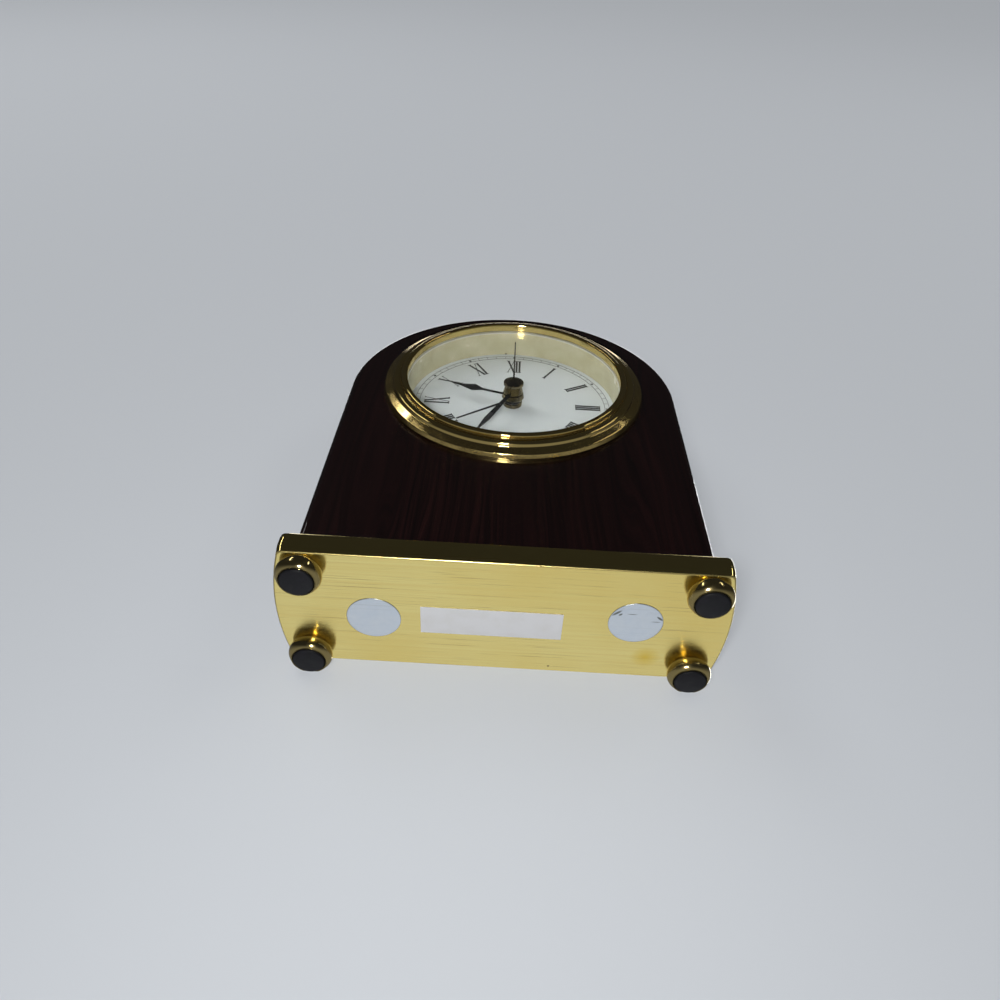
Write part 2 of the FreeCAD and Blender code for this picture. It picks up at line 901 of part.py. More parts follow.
def make_case():
    """A block with a half-round top, bored through for the clock insert."""
    body = new_body("case_body")
    sketch = new_sketch(body, "case_outline", "XZ_Plane")
    half = s.case_width / 2
    outline = [
        (-half, base_top),
        (half, base_top),
        (half, s.arch_height, (0, s.arch_height), (0, s.arch_height + half)),
        (-half, s.arch_height),
    ]
    add_loop(sketch, outline)
    pad(body, sketch, "case_pad", s.case_depth, True)

    def on_front_or_back(edge):
        box = edge.BoundBox
        return box.YLength < CLOSE and box.ZMax > base_top.value + CLOSE

    fillet(body, "case_round", s.case_edge_round, on_front_or_back)

    bore = new_sketch(body, "case_bore_circle", "XZ_Plane")
    add_circle(bore, 0, dial_height, s.bore_diameter / 2)
    pocket(body, bore, "case_bore", s.case_depth + s.overrun, False)

    holes = new_sketch(body, "case_screw_holes", "XY_Plane")
    offset_along_normal(holes, base_top)
    for side in (-1, 1):
        add_circle(
            holes,
            screw_across * side,
            s.case_depth / 2,
            s.screw_shank_diameter / 2 + s.thread_gap,
        )
    reach = s.screw_length + s.counterbore_depth - s.base_thickness + s.arbor_end_gap
    pocket(body, holes, "case_screw_cut", reach, True)
    place(body, 0, case_front, 0)
    node(body, "case_body")


# Bezel, lens and dial

def make_bezel():
    """A turned brass ring: a bead at the glass, a cove, a roll and a lower outer step."""
    outer = flange_radius + s.bezel_rim_width
    opening = opening_radius
    lens_seat = lens_radius + s.lens_gap
    cavity = flange_radius + s.grip_gap
    bead_end = opening + s.bead_width
    cove_end = bead_end + s.cove_width
    roll_end = cove_end + s.roll_width
    outline = [
        (-s.lens_front, opening),
        (-s.bezel_bead_proud, opening),
        (-s.bezel_bead_proud, bead_end),
        (-s.cove_proud, bead_end),
        (-s.cove_proud, cove_end),
        (-s.bezel_roll_proud, cove_end),
        (-s.bezel_roll_proud, roll_end),
        (-s.bezel_step_proud, roll_end + s.cove_width),
        (-s.bezel_rim_proud, outer - s.cove_width),
        (-s.bezel_edge_height, outer),
        (0, outer),
        (0, cavity),
        (-s.flange_thickness, cavity),
        (-s.flange_thickness, lens_seat),
        (-s.lens_front, lens_seat),
    ]
    body = turned_about_y("bezel", outline)

    def bead_edges(edge):
        front = radius_near(opening, -s.bezel_bead_proud)(edge)
        return front or radius_near(bead_end, -s.bezel_bead_proud)(edge)

    def roll_edges(edge):
        return radius_near(roll_end, -s.bezel_roll_proud)(edge)

    def rim_edges(edge):
        step = radius_near(roll_end + s.cove_width, -s.bezel_step_proud)(edge)
        return step or radius_near(outer - s.cove_width, -s.bezel_rim_proud)(edge)

    fillet(body, "bezel_bead_round", s.bead_round, bead_edges)
    fillet(body, "bezel_roll_round", s.roll_round, roll_edges)
    fillet(body, "bezel_rim_round", s.rim_round, rim_edges)
    place(body, 0, case_front, dial_height)
    node(body, "bezel")


def make_lens():
    back = s.lens_thickness
    outline = [(0, 0), (back, 0), (back, lens_radius), (0, lens_radius)]
    body = turned_about_y("lens", outline)
    place(body, 0, lens_front, dial_height)
    node(body, "lens")


def ring_about_y(name, inner, outer, front, back):
    """A plain ring about the dial's axis."""
    outline = [(0, inner), (back - front, inner), (back - front, outer), (0, outer)]
    body = turned_about_y(name, outline)
    place(body, 0, front, dial_height)
    return body


def make_lens_seal():
    inner = lens_radius - s.seal_width
    node(ring_about_y("lens_seal", inner, lens_radius, lens_back, seal_back), "lens_seal")


def make_reflector_ring():
    """The cream funnel between the glass and the dial, with a lip at its front."""
    front_bore = reflector_front_radius
    back_bore = reflector_back_radius
    depth = dial_face - seal_back
    lip_radius = housing_bore - s.grip_gap
    outline = [
        (0, front_bore),
        (depth, back_bore),
        (depth, back_bore + s.reflector_wall),
        (s.reflector_lip, front_bore + s.reflector_wall),
        (s.reflector_lip, lip_radius),
        (0, lip_radius),
    ]
    body = turned_about_y("reflector_ring", outline)
    place(body, 0, seal_back, dial_height)
    node(body, "reflector_ring")


def make_dial():
    hole = s.nose_radius + s.thread_gap
    rim = housing_bore - s.dial_edge_gap
    node(ring_about_y("dial", hole, rim, dial_face, dial_back), "dial")


# Printing on the dial: shapes drawn in the dial's plane, with the dial's centre as origin

def dial_vector(across, up):
    return FreeCAD.Vector(across, 0, up)


def print_prism(corners, thickness):
    """A thin prism that stands out of the dial's face to the front."""
    points = [dial_vector(*corner) for corner in corners]
    face = Part.Face(Part.makePolygon(points + [points[0]]))
    return face.extrude(FreeCAD.Vector(0, -thickness, 0))


def stroke(low, high, width, height, thickness):
    """A slanted stroke from (low, bottom) to (high, top) with level ends."""
    half = width / 2
    bottom = -height / 2
    top = height / 2
    corners = [(low - half, bottom), (low + half, bottom), (high + half, top), (high - half, top)]
    return print_prism(corners, thickness)


def letter_shapes(letter, middle, sheet):
    """The strokes and hairline serifs of I, V or X about a middle line."""
    height = sheet.numeral_height.value
    thick = sheet.numeral_stroke.value
    thin = sheet.numeral_hairline.value
    deep = sheet.print_thickness.value
    serif = sheet.numeral_serif.value
    half_cross = (sheet.numeral_cross_width.value - thick) / 2
    if letter == "I":
        lines = [(middle, middle, thick)]
    elif letter == "V":
        lines = [(middle, middle - half_cross, thick), (middle, middle + half_cross, thin)]
    else:
        lines = [
            (middle + half_cross, middle - half_cross, thick),
            (middle - half_cross, middle + half_cross, thin),
        ]
    shapes = [stroke(low, high, width, height, deep) for low, high, width in lines]
    for low, high, width in lines:
        reach = width / 2 + serif
        for end, level in ((low, -height / 2), (high, height / 2 - thin)):
            corners = [
                (end - reach, level),
                (end + reach, level),
                (end + reach, level + thin),
                (end - reach, level + thin),
            ]
            shapes.append(print_prism(corners, deep))
    return shapes


def numeral_shape(letters, sheet):
    """One Roman numeral, upright about the origin."""
    pitch = sheet.numeral_pitch.value
    cross = sheet.numeral_cross_width.value
    widths = [pitch if letter == "I" else cross for letter in letters]
    left = -sum(widths) / 2
    shapes = []
    for letter, width in zip(letters, widths):
        shapes += letter_shapes(letter, left + width / 2, sheet)
        left += width
    joined = shapes[0].fuse(shapes[1:])
    return joined.removeSplitter()


def make_numerals():
    """Twelve Roman numerals that stand with their feet to the centre."""
    letters = ["XII", "I", "II", "III", "IIII", "V", "VI", "VII", "VIII", "IX", "X", "XI"]
    track_inner = reflector_back_radius - s.track_margin - s.track_width
    middle = track_inner - s.numeral_gap - s.numeral_height / 2
    shapes = []
    for hour, name in enumerate(letters):
        numeral = numeral_shape(name, s)
        numeral.translate(dial_vector(0, middle.value))
        numeral.rotate(FreeCAD.Vector(), FreeCAD.Vector(0, 1, 0), hour * FULL_TURN / HOURS)
        shapes.append(numeral)
    feature = document.addObject("Part::Feature", "numerals")
    solids = [solid for shape in shapes for solid in shape.Solids]
    feature.Shape = Part.makeCompound(solids)
    place(feature, 0, dial_face, dial_height)
    node(feature, "numerals")


def print_ring(radius, line, thickness):
    direction = FreeCAD.Vector(0, -1, 0)
    outer = Part.makeCylinder(radius, thickness, FreeCAD.Vector(), direction)
    inner = Part.makeCylinder(radius - line, thickness, FreeCAD.Vector(), direction)
    return outer.cut(inner)


def make_minute_track():
    """A railway track of sixty minutes with a dot at each fifth."""
    deep = s.print_thickness.value
    line = s.track_line.value
    outer = (reflector_back_radius - s.track_margin).value
    inner = outer - s.track_width.value
    half_tick = s.track_tick.value / 2
    rings = [print_ring(outer, line, deep), print_ring(inner + line, line, deep)]
    marks = []
    for minute in range(MINUTES):
        if minute % (MINUTES // HOURS):
            low = inner + line / 2
            high = outer - line / 2
            corners = [(-half_tick, low), (half_tick, low), (half_tick, high), (-half_tick, high)]
            mark = print_prism(corners, deep)
        else:
            middle = dial_vector(0, (inner + outer) / 2)
            dot_radius = s.track_dot_diameter.value / 2
            mark = Part.makeCylinder(dot_radius, deep, middle, FreeCAD.Vector(0, -1, 0))
        mark.rotate(FreeCAD.Vector(), FreeCAD.Vector(0, 1, 0), minute * FULL_TURN / MINUTES)
        marks.append(mark)
    track = rings[0].fuse(rings[1:] + marks).removeSplitter()
    feature = document.addObject("Part::Feature", "minute_track")
    feature.Shape = Part.makeCompound(track.Solids)
    place(feature, 0, dial_face, dial_height)
    node(feature, "minute_track")


# Hands

def turned_boss(body, name, outline):
    """Adds a turned boss about the hand's own axis: points are (back, radius), front is negative."""
    sketch = new_sketch(body, name, "YZ_Plane")
    add_loop(sketch, outline)
    revolve(body, sketch, name + "_turn", "H_Axis")


def make_hand(name, level, blade, boss, angle):
    """A hand drawn at twelve o'clock, a flat blade on a turned boss, then turned to its time."""
    body = new_body(name)
    turned_boss(body, name + "_boss", boss)
    add_blade(body, name, blade)
    turn = FreeCAD.Rotation(FreeCAD.Vector(0, 1, 0), angle.value)
    place(body, 0, dial_face - level, dial_height, turn)
    body.setExpression("Placement.Rotation.Angle", angle.text)
    node(body, name)


def add_blade(body, name, blade):
    """Pads a blade's outline to the front, a little above the back of its boss."""
    sketch = new_sketch(body, name + "_blade", "XZ_Plane")
    offset_to_back(sketch, -s.blade_rise)
    add_loop(sketch, blade)
    pad(body, sketch, name + "_blade_pad", s.blade_thickness, False)


def straight_boss(bore, diameter, top_diameter, height):
    """A ring boss that narrows to the front."""
    return [(0, bore), (0, diameter / 2), (-height, top_diameter / 2), (-height, bore)]


def make_hands():
    alarm_bore = s.alarm_radius + s.hand_grip_gap
    root = (alarm_bore + s.alarm_boss_diameter / 2) / 2
    half = s.alarm_hand_width / 2
    make_hand(
        "alarm_hand",
        alarm_hand_level,
        [(-half, root), (half, root), (half / 2, s.alarm_hand_length), (-half / 2, s.alarm_hand_length)],
        straight_boss(alarm_bore, s.alarm_boss_diameter, s.alarm_boss_diameter, s.alarm_boss_height),
        s.alarm_angle,
    )

    hour_bore = s.hour_radius + s.hand_grip_gap
    root = (hour_bore + s.hour_boss_top_diameter / 2) / 2
    half = s.hour_hand_width / 2
    spade = s.hour_spade_width / 2
    low = s.hour_spade_middle - s.hour_spade_width
    high = s.hour_spade_middle + s.hour_spade_width
    make_hand(
        "hour_hand",
        hour_hand_level,
        [
            (-half, root),
            (half, root),
            (half, low),
            (spade, s.hour_spade_middle),
            (half, high),
            (0, s.hour_hand_length),
            (-half, high),
            (-spade, s.hour_spade_middle),
            (-half, low),
        ],
        straight_boss(hour_bore, s.hour_boss_diameter, s.hour_boss_top_diameter, s.hour_boss_height),
        s.hour_angle,
    )

    minute_bore = s.cannon_radius + s.hand_grip_gap
    root = (minute_bore + s.minute_boss_top_diameter / 2) / 2
    half = s.minute_hand_width / 2
    lance = s.minute_lance_width / 2
    make_hand(
        "minute_hand",
        minute_hand_level,
        [
            (-half, root),
            (half, root),
            (lance, s.minute_lance_middle),
            (0, s.minute_hand_length),
            (-lance, s.minute_lance_middle),
        ],
        straight_boss(
            minute_bore, s.minute_boss_diameter, s.minute_boss_top_diameter, s.minute_boss_height
        ),
        s.minute_angle,
    )

    second_bore = s.arbor_radius + s.hand_grip_gap
    cap = s.second_cap_diameter / 2
    root = cap / 2
    half = s.second_hand_width / 2
    socket = s.second_cap_wall - s.second_cap_height
    cap_outline = [
        (0, second_bore),
        (0, cap),
        (-s.second_cap_height, cap),
        (-s.second_cap_height, 0),
        (socket, 0),
        (socket, second_bore),
    ]
    body = new_body("second_hand")
    turned_boss(body, "second_hand_cap", cap_outline)
    fillet(
        body,
        "second_hand_cap_round",
        s.cap_round,
        radius_near(cap, -s.second_cap_height),
    )
    blade = [
        (-half, root),
        (half, root),
        (half / 2, s.second_hand_length),
        (-half / 2, s.second_hand_length),
    ]
    add_blade(body, "second_hand", blade)
    place(body, 0, dial_face - second_hand_level, dial_height)
    node(body, "second_hand")


def make_dial_nut():
    inner = s.nose_radius + s.thread_gap
    body = ring_about_y("dial_nut", inner, s.nut_diameter / 2, dial_face - s.nut_height, dial_face)
    fillet(body, "dial_nut_round", s.nut_round, radius_near(s.nut_diameter / 2, 0))
    node(body, "dial_nut")


# Gear geometry, in the plane of the wheels: angles run from +X towards +Z

def involute(angle):
    return math.tan(angle) - angle


def gear_wire(module, teeth, phase, level):
    """A closed outline of teeth whose flanks are arcs through three points of the involute."""
    pitch_radius = module * teeth / 2
    tip = pitch_radius + module * ADDENDUM_SHARE
    root = pitch_radius - module * DEDENDUM_SHARE
    base = pitch_radius * math.cos(PRESSURE_ANGLE)
    half_at_pitch = TOOTH_SHARE * math.pi / teeth

    def half_angle(radius):
        if radius <= base:
            at_base = half_at_pitch + involute(PRESSURE_ANGLE)
            return at_base * (WAIST_SHARE + (1 - WAIST_SHARE) * (radius - root) / (base - root))
        return half_at_pitch + involute(PRESSURE_ANGLE) - involute(math.acos(base / radius))

    def point(radius, angle):
        return FreeCAD.Vector(radius * math.cos(angle), level, radius * math.sin(angle))

    middle = (root + tip) / 2
    pitch = 2 * math.pi / teeth
    edges = []
    for tooth in range(teeth):
        centre = phase + tooth * pitch
        rise = [point(r, centre - half_angle(r)) for r in (root, middle, tip)]
        fall = [point(r, centre + half_angle(r)) for r in (tip, middle, root)]
        next_root = point(root, centre + pitch - half_angle(root))
        edges.append(Part.Arc(*rise).toShape())
        edges.append(Part.Arc(rise[2], point(tip, centre), fall[0]).toShape())
        edges.append(Part.Arc(*fall).toShape())
        edges.append(Part.Arc(fall[2], point(root, centre + pitch / 2), next_root).toShape())
    return Part.Wire(edges)


def gear_solid(module, teeth, phase, front, width):
    """A toothed disc from its front face to the back, about the origin's Y axis."""
    face = Part.Face(gear_wire(module.value, teeth, phase, front.value))
    return face.extrude(FreeCAD.Vector(0, width.value, 0))


def disc(radius, level, width):
    """A round disc about the origin's Y axis, from plain numbers."""
    return Part.makeCylinder(radius, width, FreeCAD.Vector(0, level, 0), FreeCAD.Vector(0, 1, 0))


def meshed_phase(phase, teeth, direction, mate_teeth):
    """The phase that puts a gap of the mate where the first gear has a tooth, on the line between them."""
    pitch = 2 * math.pi / teeth
    mate_pitch = 2 * math.pi / mate_teeth
    offset = (phase - direction) % pitch
    return direction + math.pi - offset * teeth / mate_teeth + mate_pitch / 2


def axis_distance(module, teeth, mate_teeth):
    return module * (teeth + mate_teeth) / 2


def beyond(start, direction, distance):
    """The point at a distance from another in a direction, in the wheels' plane."""
    across = distance * cosine(direction) + start[0]
    up = distance * sine(direction) + start[1]
    return across, up


def way(direction):
    """A direction of the sheet in radians, as the tooth phases need it."""
    return math.radians(direction.value)


# Axes of the wheels, from the dial's centre

CENTRE_AXIS = (0, 0)
motion_axis = beyond(
    CENTRE_AXIS,
    s.motion_direction,
    axis_distance(s.setting_module, CANNON_TEETH, MOTION_WHEEL_TEETH),
)
third_axis = beyond(
    CENTRE_AXIS,
    s.third_direction,
    axis_distance(s.going_module, SECOND_PINION_TEETH, THIRD_WHEEL_TEETH),
)
intermediate_axis = beyond(
    CENTRE_AXIS,
    s.intermediate_direction,
    axis_distance(s.going_module, SECOND_WHEEL_TEETH, INTERMEDIATE_PINION_TEETH),
)
rotor_axis = beyond(
    intermediate_axis,
    s.rotor_direction,
    axis_distance(s.going_module, INTERMEDIATE_WHEEL_TEETH, ROTOR_PINION_TEETH),
)
time_axis = beyond(
    motion_axis,
    s.time_direction,
    axis_distance(s.setting_module, MOTION_WHEEL_TEETH, TIME_PINION_TEETH),
)
alarm_axis = beyond(
    CENTRE_AXIS,
    s.alarm_direction,
    axis_distance(s.setting_module, ALARM_WHEEL_TEETH, ALARM_PINION_TEETH),
)

# The hour wheel and the motion pinion share the distance of the cannon and motion wheels
hour_module = s.setting_module * (CANNON_TEETH + MOTION_WHEEL_TEETH) / (
    HOUR_WHEEL_TEETH + MOTION_PINION_TEETH
)
# The centre wheel and the third pinion share the distance of the second pinion and third wheel
centre_module = s.going_module * (SECOND_PINION_TEETH + THIRD_WHEEL_TEETH) / (
    CENTRE_WHEEL_TEETH + THIRD_PINION_TEETH
)


def wheel_feature(name, axis, shapes, bore=None):
    """Joins the discs of one wheel on its arbor, bores it and puts it on its axis."""
    joined = shapes[0]
    if len(shapes) > 1:
        joined = shapes[0].fuse(shapes[1:]).removeSplitter()
    if bore:
        box = joined.BoundBox
        reach = s.overrun.value
        drill = disc(bore.value, box.YMin - reach, box.YLength + 2 * reach)
        joined = joined.cut(drill)
    feature = document.addObject("Part::Feature", name)
    feature.Shape = joined
    place(feature, axis[0], 0, dial_height + axis[1])
    return node(feature, name)


def tube(radius, front, back):
    """A round bar about the origin's Y axis between two levels."""
    return disc(radius.value, front.value, (back - front).value)


def plain_arbor(radius):
    """An arbor that pivots in both plates."""
    return tube(radius, bulkhead_back + s.arbor_end_gap, rear_plate_back - s.arbor_end_gap)


def make_knob_arbor(name, axis, teeth, phase, front):
    """A pinion on the long arbor that a knob on the back is pushed on."""
    knob_middle = housing_back + s.knob_stand_off + s.knob_height / 2
    shapes = [
        gear_solid(s.setting_module, teeth, phase, front, s.setting_wheel_width),
        tube(s.wheel_arbor_radius, bulkhead_back + s.arbor_end_gap, front),
        tube(s.knob_arbor_radius, front, knob_middle),
    ]
    wheel_feature(name, axis, shapes)


def make_alarm_wheels():
    """The alarm wheel on the tube of the alarm hand, and its knob's arbor."""
    width = s.setting_wheel_width
    phase = way(s.alarm_direction)
    wheel_feature(
        "alarm_wheel",
        CENTRE_AXIS,
        [
            gear_solid(s.setting_module, ALARM_WHEEL_TEETH, phase, alarm_wheel_front, width),
            tube(s.alarm_radius, dial_face - alarm_tube_proud, alarm_wheel_front + width),
        ],
        s.alarm_bore,
    )
    pinion_phase = meshed_phase(phase, ALARM_WHEEL_TEETH, phase, ALARM_PINION_TEETH)
    make_knob_arbor(
        "alarm_setting_arbor", alarm_axis, ALARM_PINION_TEETH, pinion_phase, alarm_wheel_front
    )


def make_motion_wheels():
    """Cannon, motion and hour wheels, and the arbor of the time knob."""
    width = s.setting_wheel_width
    over = s.pinion_overlap
    phase = way(s.motion_direction)
    wheel_feature(
        "hour_wheel",
        CENTRE_AXIS,
        [
            gear_solid(hour_module, HOUR_WHEEL_TEETH, phase, hour_wheel_front, width),
            tube(s.hour_radius, dial_face - hour_tube_proud, hour_wheel_front + width),
        ],
        s.hour_bore,
    )
    cannon_back = centre_wheel_front + s.wheel_width + over
    wheel_feature(
        "cannon_pinion",
        CENTRE_AXIS,
        [
            gear_solid(
                s.setting_module, CANNON_TEETH, phase, motion_wheel_front - over, width + over * 2
            ),
            tube(s.cannon_radius, dial_face - cannon_tube_proud, cannon_back),
        ],
        s.cannon_bore,
    )
    wheel_phase = meshed_phase(phase, CANNON_TEETH, phase, MOTION_WHEEL_TEETH)
    pinion_phase = meshed_phase(phase, HOUR_WHEEL_TEETH, phase, MOTION_PINION_TEETH)
    pinion_front = hour_wheel_front - over
    pinion_width = motion_wheel_front - pinion_front
    wheel_feature(
        "motion_wheel",
        motion_axis,
        [
            gear_solid(
                s.setting_module, MOTION_WHEEL_TEETH, wheel_phase, motion_wheel_front, width
            ),
            gear_solid(hour_module, MOTION_PINION_TEETH, pinion_phase, pinion_front, pinion_width),
            plain_arbor(s.wheel_arbor_radius),
        ],
    )
    time_phase = meshed_phase(
        wheel_phase, MOTION_WHEEL_TEETH, way(s.time_direction), TIME_PINION_TEETH
    )
    make_knob_arbor(
        "time_setting_arbor", time_axis, TIME_PINION_TEETH, time_phase, motion_wheel_front
    )


def make_going_wheels():
    """Second, third, centre and intermediate wheels, and the motor's rotor."""
    width = s.wheel_width
    over = s.pinion_overlap
    module = s.going_module
    third_way = way(s.third_direction)
    intermediate_way = way(s.intermediate_direction)
    rotor_way = way(s.rotor_direction)
    arbor_back = rear_plate_back - s.arbor_end_gap

    pinion_front = third_wheel_front - over
    wheel_feature(
        "second_wheel",
        CENTRE_AXIS,
        [
            gear_solid(module, SECOND_WHEEL_TEETH, intermediate_way, second_wheel_front, width),
            gear_solid(
                module, SECOND_PINION_TEETH, third_way, pinion_front,
                second_wheel_front - pinion_front,
            ),
            tube(s.arbor_radius, dial_face - arbor_proud, arbor_back),
        ],
    )

    third_phase = meshed_phase(third_way, SECOND_PINION_TEETH, third_way, THIRD_WHEEL_TEETH)
    pinion_phase = meshed_phase(third_way, CENTRE_WHEEL_TEETH, third_way, THIRD_PINION_TEETH)
    pinion_front = centre_wheel_front - over
    wheel_feature(
        "third_wheel",
        third_axis,
        [
            gear_solid(module, THIRD_WHEEL_TEETH, third_phase, third_wheel_front, width),
            gear_solid(
                centre_module, THIRD_PINION_TEETH, pinion_phase, pinion_front,
                third_wheel_front - pinion_front,
            ),
            plain_arbor(s.wheel_arbor_radius),
        ],
    )
    wheel_feature(
        "centre_wheel",
        CENTRE_AXIS,
        [gear_solid(centre_module, CENTRE_WHEEL_TEETH, third_way, centre_wheel_front, width)],
        s.cannon_radius + s.centre_bore_gap,
    )

    pinion_phase = meshed_phase(
        intermediate_way, SECOND_WHEEL_TEETH, intermediate_way, INTERMEDIATE_PINION_TEETH
    )
    pinion_front = second_wheel_front - over
    wheel_feature(
        "intermediate_wheel",
        intermediate_axis,
        [
            gear_solid(
                module, INTERMEDIATE_WHEEL_TEETH, rotor_way, intermediate_wheel_front, width
            ),
            gear_solid(
                module, INTERMEDIATE_PINION_TEETH, pinion_phase, pinion_front,
                intermediate_wheel_front - pinion_front,
            ),
            plain_arbor(s.wheel_arbor_radius),
        ],
    )

    rotor_phase = meshed_phase(rotor_way, INTERMEDIATE_WHEEL_TEETH, rotor_way, ROTOR_PINION_TEETH)
    stator_middle = stator_front + s.stator_thickness / 2
    magnet_front = stator_middle - s.rotor_magnet_width / 2
    wheel_feature(
        "rotor",
        rotor_axis,
        [
            gear_solid(
                module, ROTOR_PINION_TEETH, rotor_phase, intermediate_wheel_front - over,
                width + over * 2,
            ),
            tube(s.rotor_magnet_radius, magnet_front, magnet_front + s.rotor_magnet_width),
            tube(s.arbor_radius, front_plate_back, arbor_back),
        ],
    )


# Movement plates

def pivot_circles():
    """The pivot holes that both plates share: centre and radius of each."""
    hole = s.wheel_arbor_radius + s.pivot_gap
    rotor_hole = s.arbor_radius + s.pivot_gap
    circles = [(*axis, hole) for axis in (motion_axis, third_axis, intermediate_axis)]
    circles.append((*rotor_axis, rotor_hole))
    return circles


def plate_outline():
    return rectangle(-s.plate_half_width, s.plate_half_width, -s.plate_bottom, s.plate_top)


def pillar_places():
    places = []
    for side in (-1, 1):
        places.append((lower_pillar_across * side, -lower_pillar_down))
        places.append((upper_pillar_across * side, upper_pillar_up))
    return places


def make_front_plate():
    """The movement's front plate with its nose, four pillars and a post for the rotor."""
    body = new_body("movement_front_plate")
    sketch = new_sketch(body, "front_plate_outline", "XZ_Plane")
    add_loop(sketch, plate_outline())
    add_circle(sketch, 0, 0, s.nose_bore)
    for circle in pivot_circles():
        add_circle(sketch, *circle)
    for axis in (time_axis, alarm_axis):
        add_circle(sketch, *axis, s.wheel_arbor_radius + s.pivot_gap)
    pad(body, sketch, "front_plate_pad", s.front_plate_thickness, True)

    nose = new_sketch(body, "front_plate_nose", "XZ_Plane")
    add_circle(nose, 0, 0, s.nose_radius)
    add_circle(nose, 0, 0, s.nose_bore)
    nose_length = bulkhead_back - dial_face + s.nose_proud
    pad(body, nose, "front_plate_nose_pad", nose_length, False)

    pillars = new_sketch(body, "front_plate_pillars", "XZ_Plane")
    for across, up in pillar_places():
        add_circle(pillars, across, up, s.pillar_diameter / 2)
    pillar_length = rear_plate_front - bulkhead_back
    pad(body, pillars, "front_plate_pillar_pad", pillar_length, True)

    post = new_sketch(body, "front_plate_rotor_post", "XZ_Plane")
    add_circle(post, *rotor_axis, s.rotor_post_radius)
    add_circle(post, *rotor_axis, s.arbor_radius + s.pivot_gap)
    post_length = intermediate_wheel_front - s.going_layer_gap - bulkhead_back
    pad(body, post, "front_plate_post_pad", post_length, True)

    holes = new_sketch(body, "front_plate_screw_holes", "XZ_Plane")
    offset_to_back(holes, pillar_length)
    for across, up in pillar_places():
        add_circle(holes, across, up, s.plate_screw_diameter / 2 + s.thread_gap)
    hole_depth = s.plate_screw_length - s.rear_plate_thickness + s.arbor_end_gap
    pocket(body, holes, "front_plate_screw_cut", hole_depth, True)
    place(body, 0, bulkhead_back, dial_height)
    node(body, "movement_front_plate")


def make_rear_plate():
    """The rear plate with its pivot holes and two posts that the stator sits on."""
    circles = pivot_circles()
    circles.append((0, 0, s.arbor_radius + s.pivot_gap))
    for axis in (time_axis, alarm_axis):
        circles.append((*axis, s.knob_arbor_radius + s.pivot_gap))
    for across, up in pillar_places():
        circles.append((across, up, s.plate_screw_diameter / 2 + s.screw_clearance))
    body = slab_to_back("movement_rear_plate", s.rear_plate_thickness, [plate_outline()], circles)
    posts = new_sketch(body, "rear_plate_stator_posts", "XZ_Plane")
    half_leg = s.stator_leg_width / 2
    for across in (half_leg - s.stator_left, stator_right - half_leg):
        add_circle(posts, across, s.core_up, s.stator_post_radius)
    pad(body, posts, "rear_plate_post_pad", s.stator_post_height, False)
    place(body, 0, rear_plate_front, dial_height)
    node(body, "movement_rear_plate")


def small_screw(name, diameter, length, head_diameter, head_height):
    """A screw about Y whose head is to the back: its seat is the origin."""
    shank = diameter / 2
    outline = [
        (-length, 0),
        (-length + shank, shank),
        (0, shank),
        (0, head_diameter / 2),
        (head_height, head_diameter / 2),
        (head_height, 0),
    ]
    return turned_about_y(name, outline)


def make_plate_screws():
    screws = []
    for index, (across, up) in enumerate(pillar_places(), start=1):
        screw = small_screw(
            f"plate_screw_{index}", s.plate_screw_diameter, s.plate_screw_length,
            s.plate_screw_head, s.plate_screw_head_height,
        )
        place(screw, across, rear_plate_back, dial_height + up)
        screws.append(screw)
    node(compound("plate_screws", screws), "plate_screws")


# Stepping motor and electronics

def make_stator():
    """A U of soft iron round the rotor, with its legs up to the coil's core."""
    left = -s.stator_left
    right = stator_right
    leg = s.stator_leg_width
    top = s.core_up + s.core_height / 2
    outline = [
        (left, s.stator_low),
        (right, s.stator_low),
        (right, top),
        (right - leg, top),
        (right - leg, s.stator_bar_top),
        (left + leg, s.stator_bar_top),
        (left + leg, top),
        (left, top),
    ]
    circles = [
        (*rotor_axis, s.stator_hole_radius),
        (*third_axis, s.stator_arbor_hole_radius),
    ]
    body = slab_to_back("stator", s.stator_thickness, [outline], circles)
    place(body, 0, stator_front, dial_height)
    node(body, "stator")


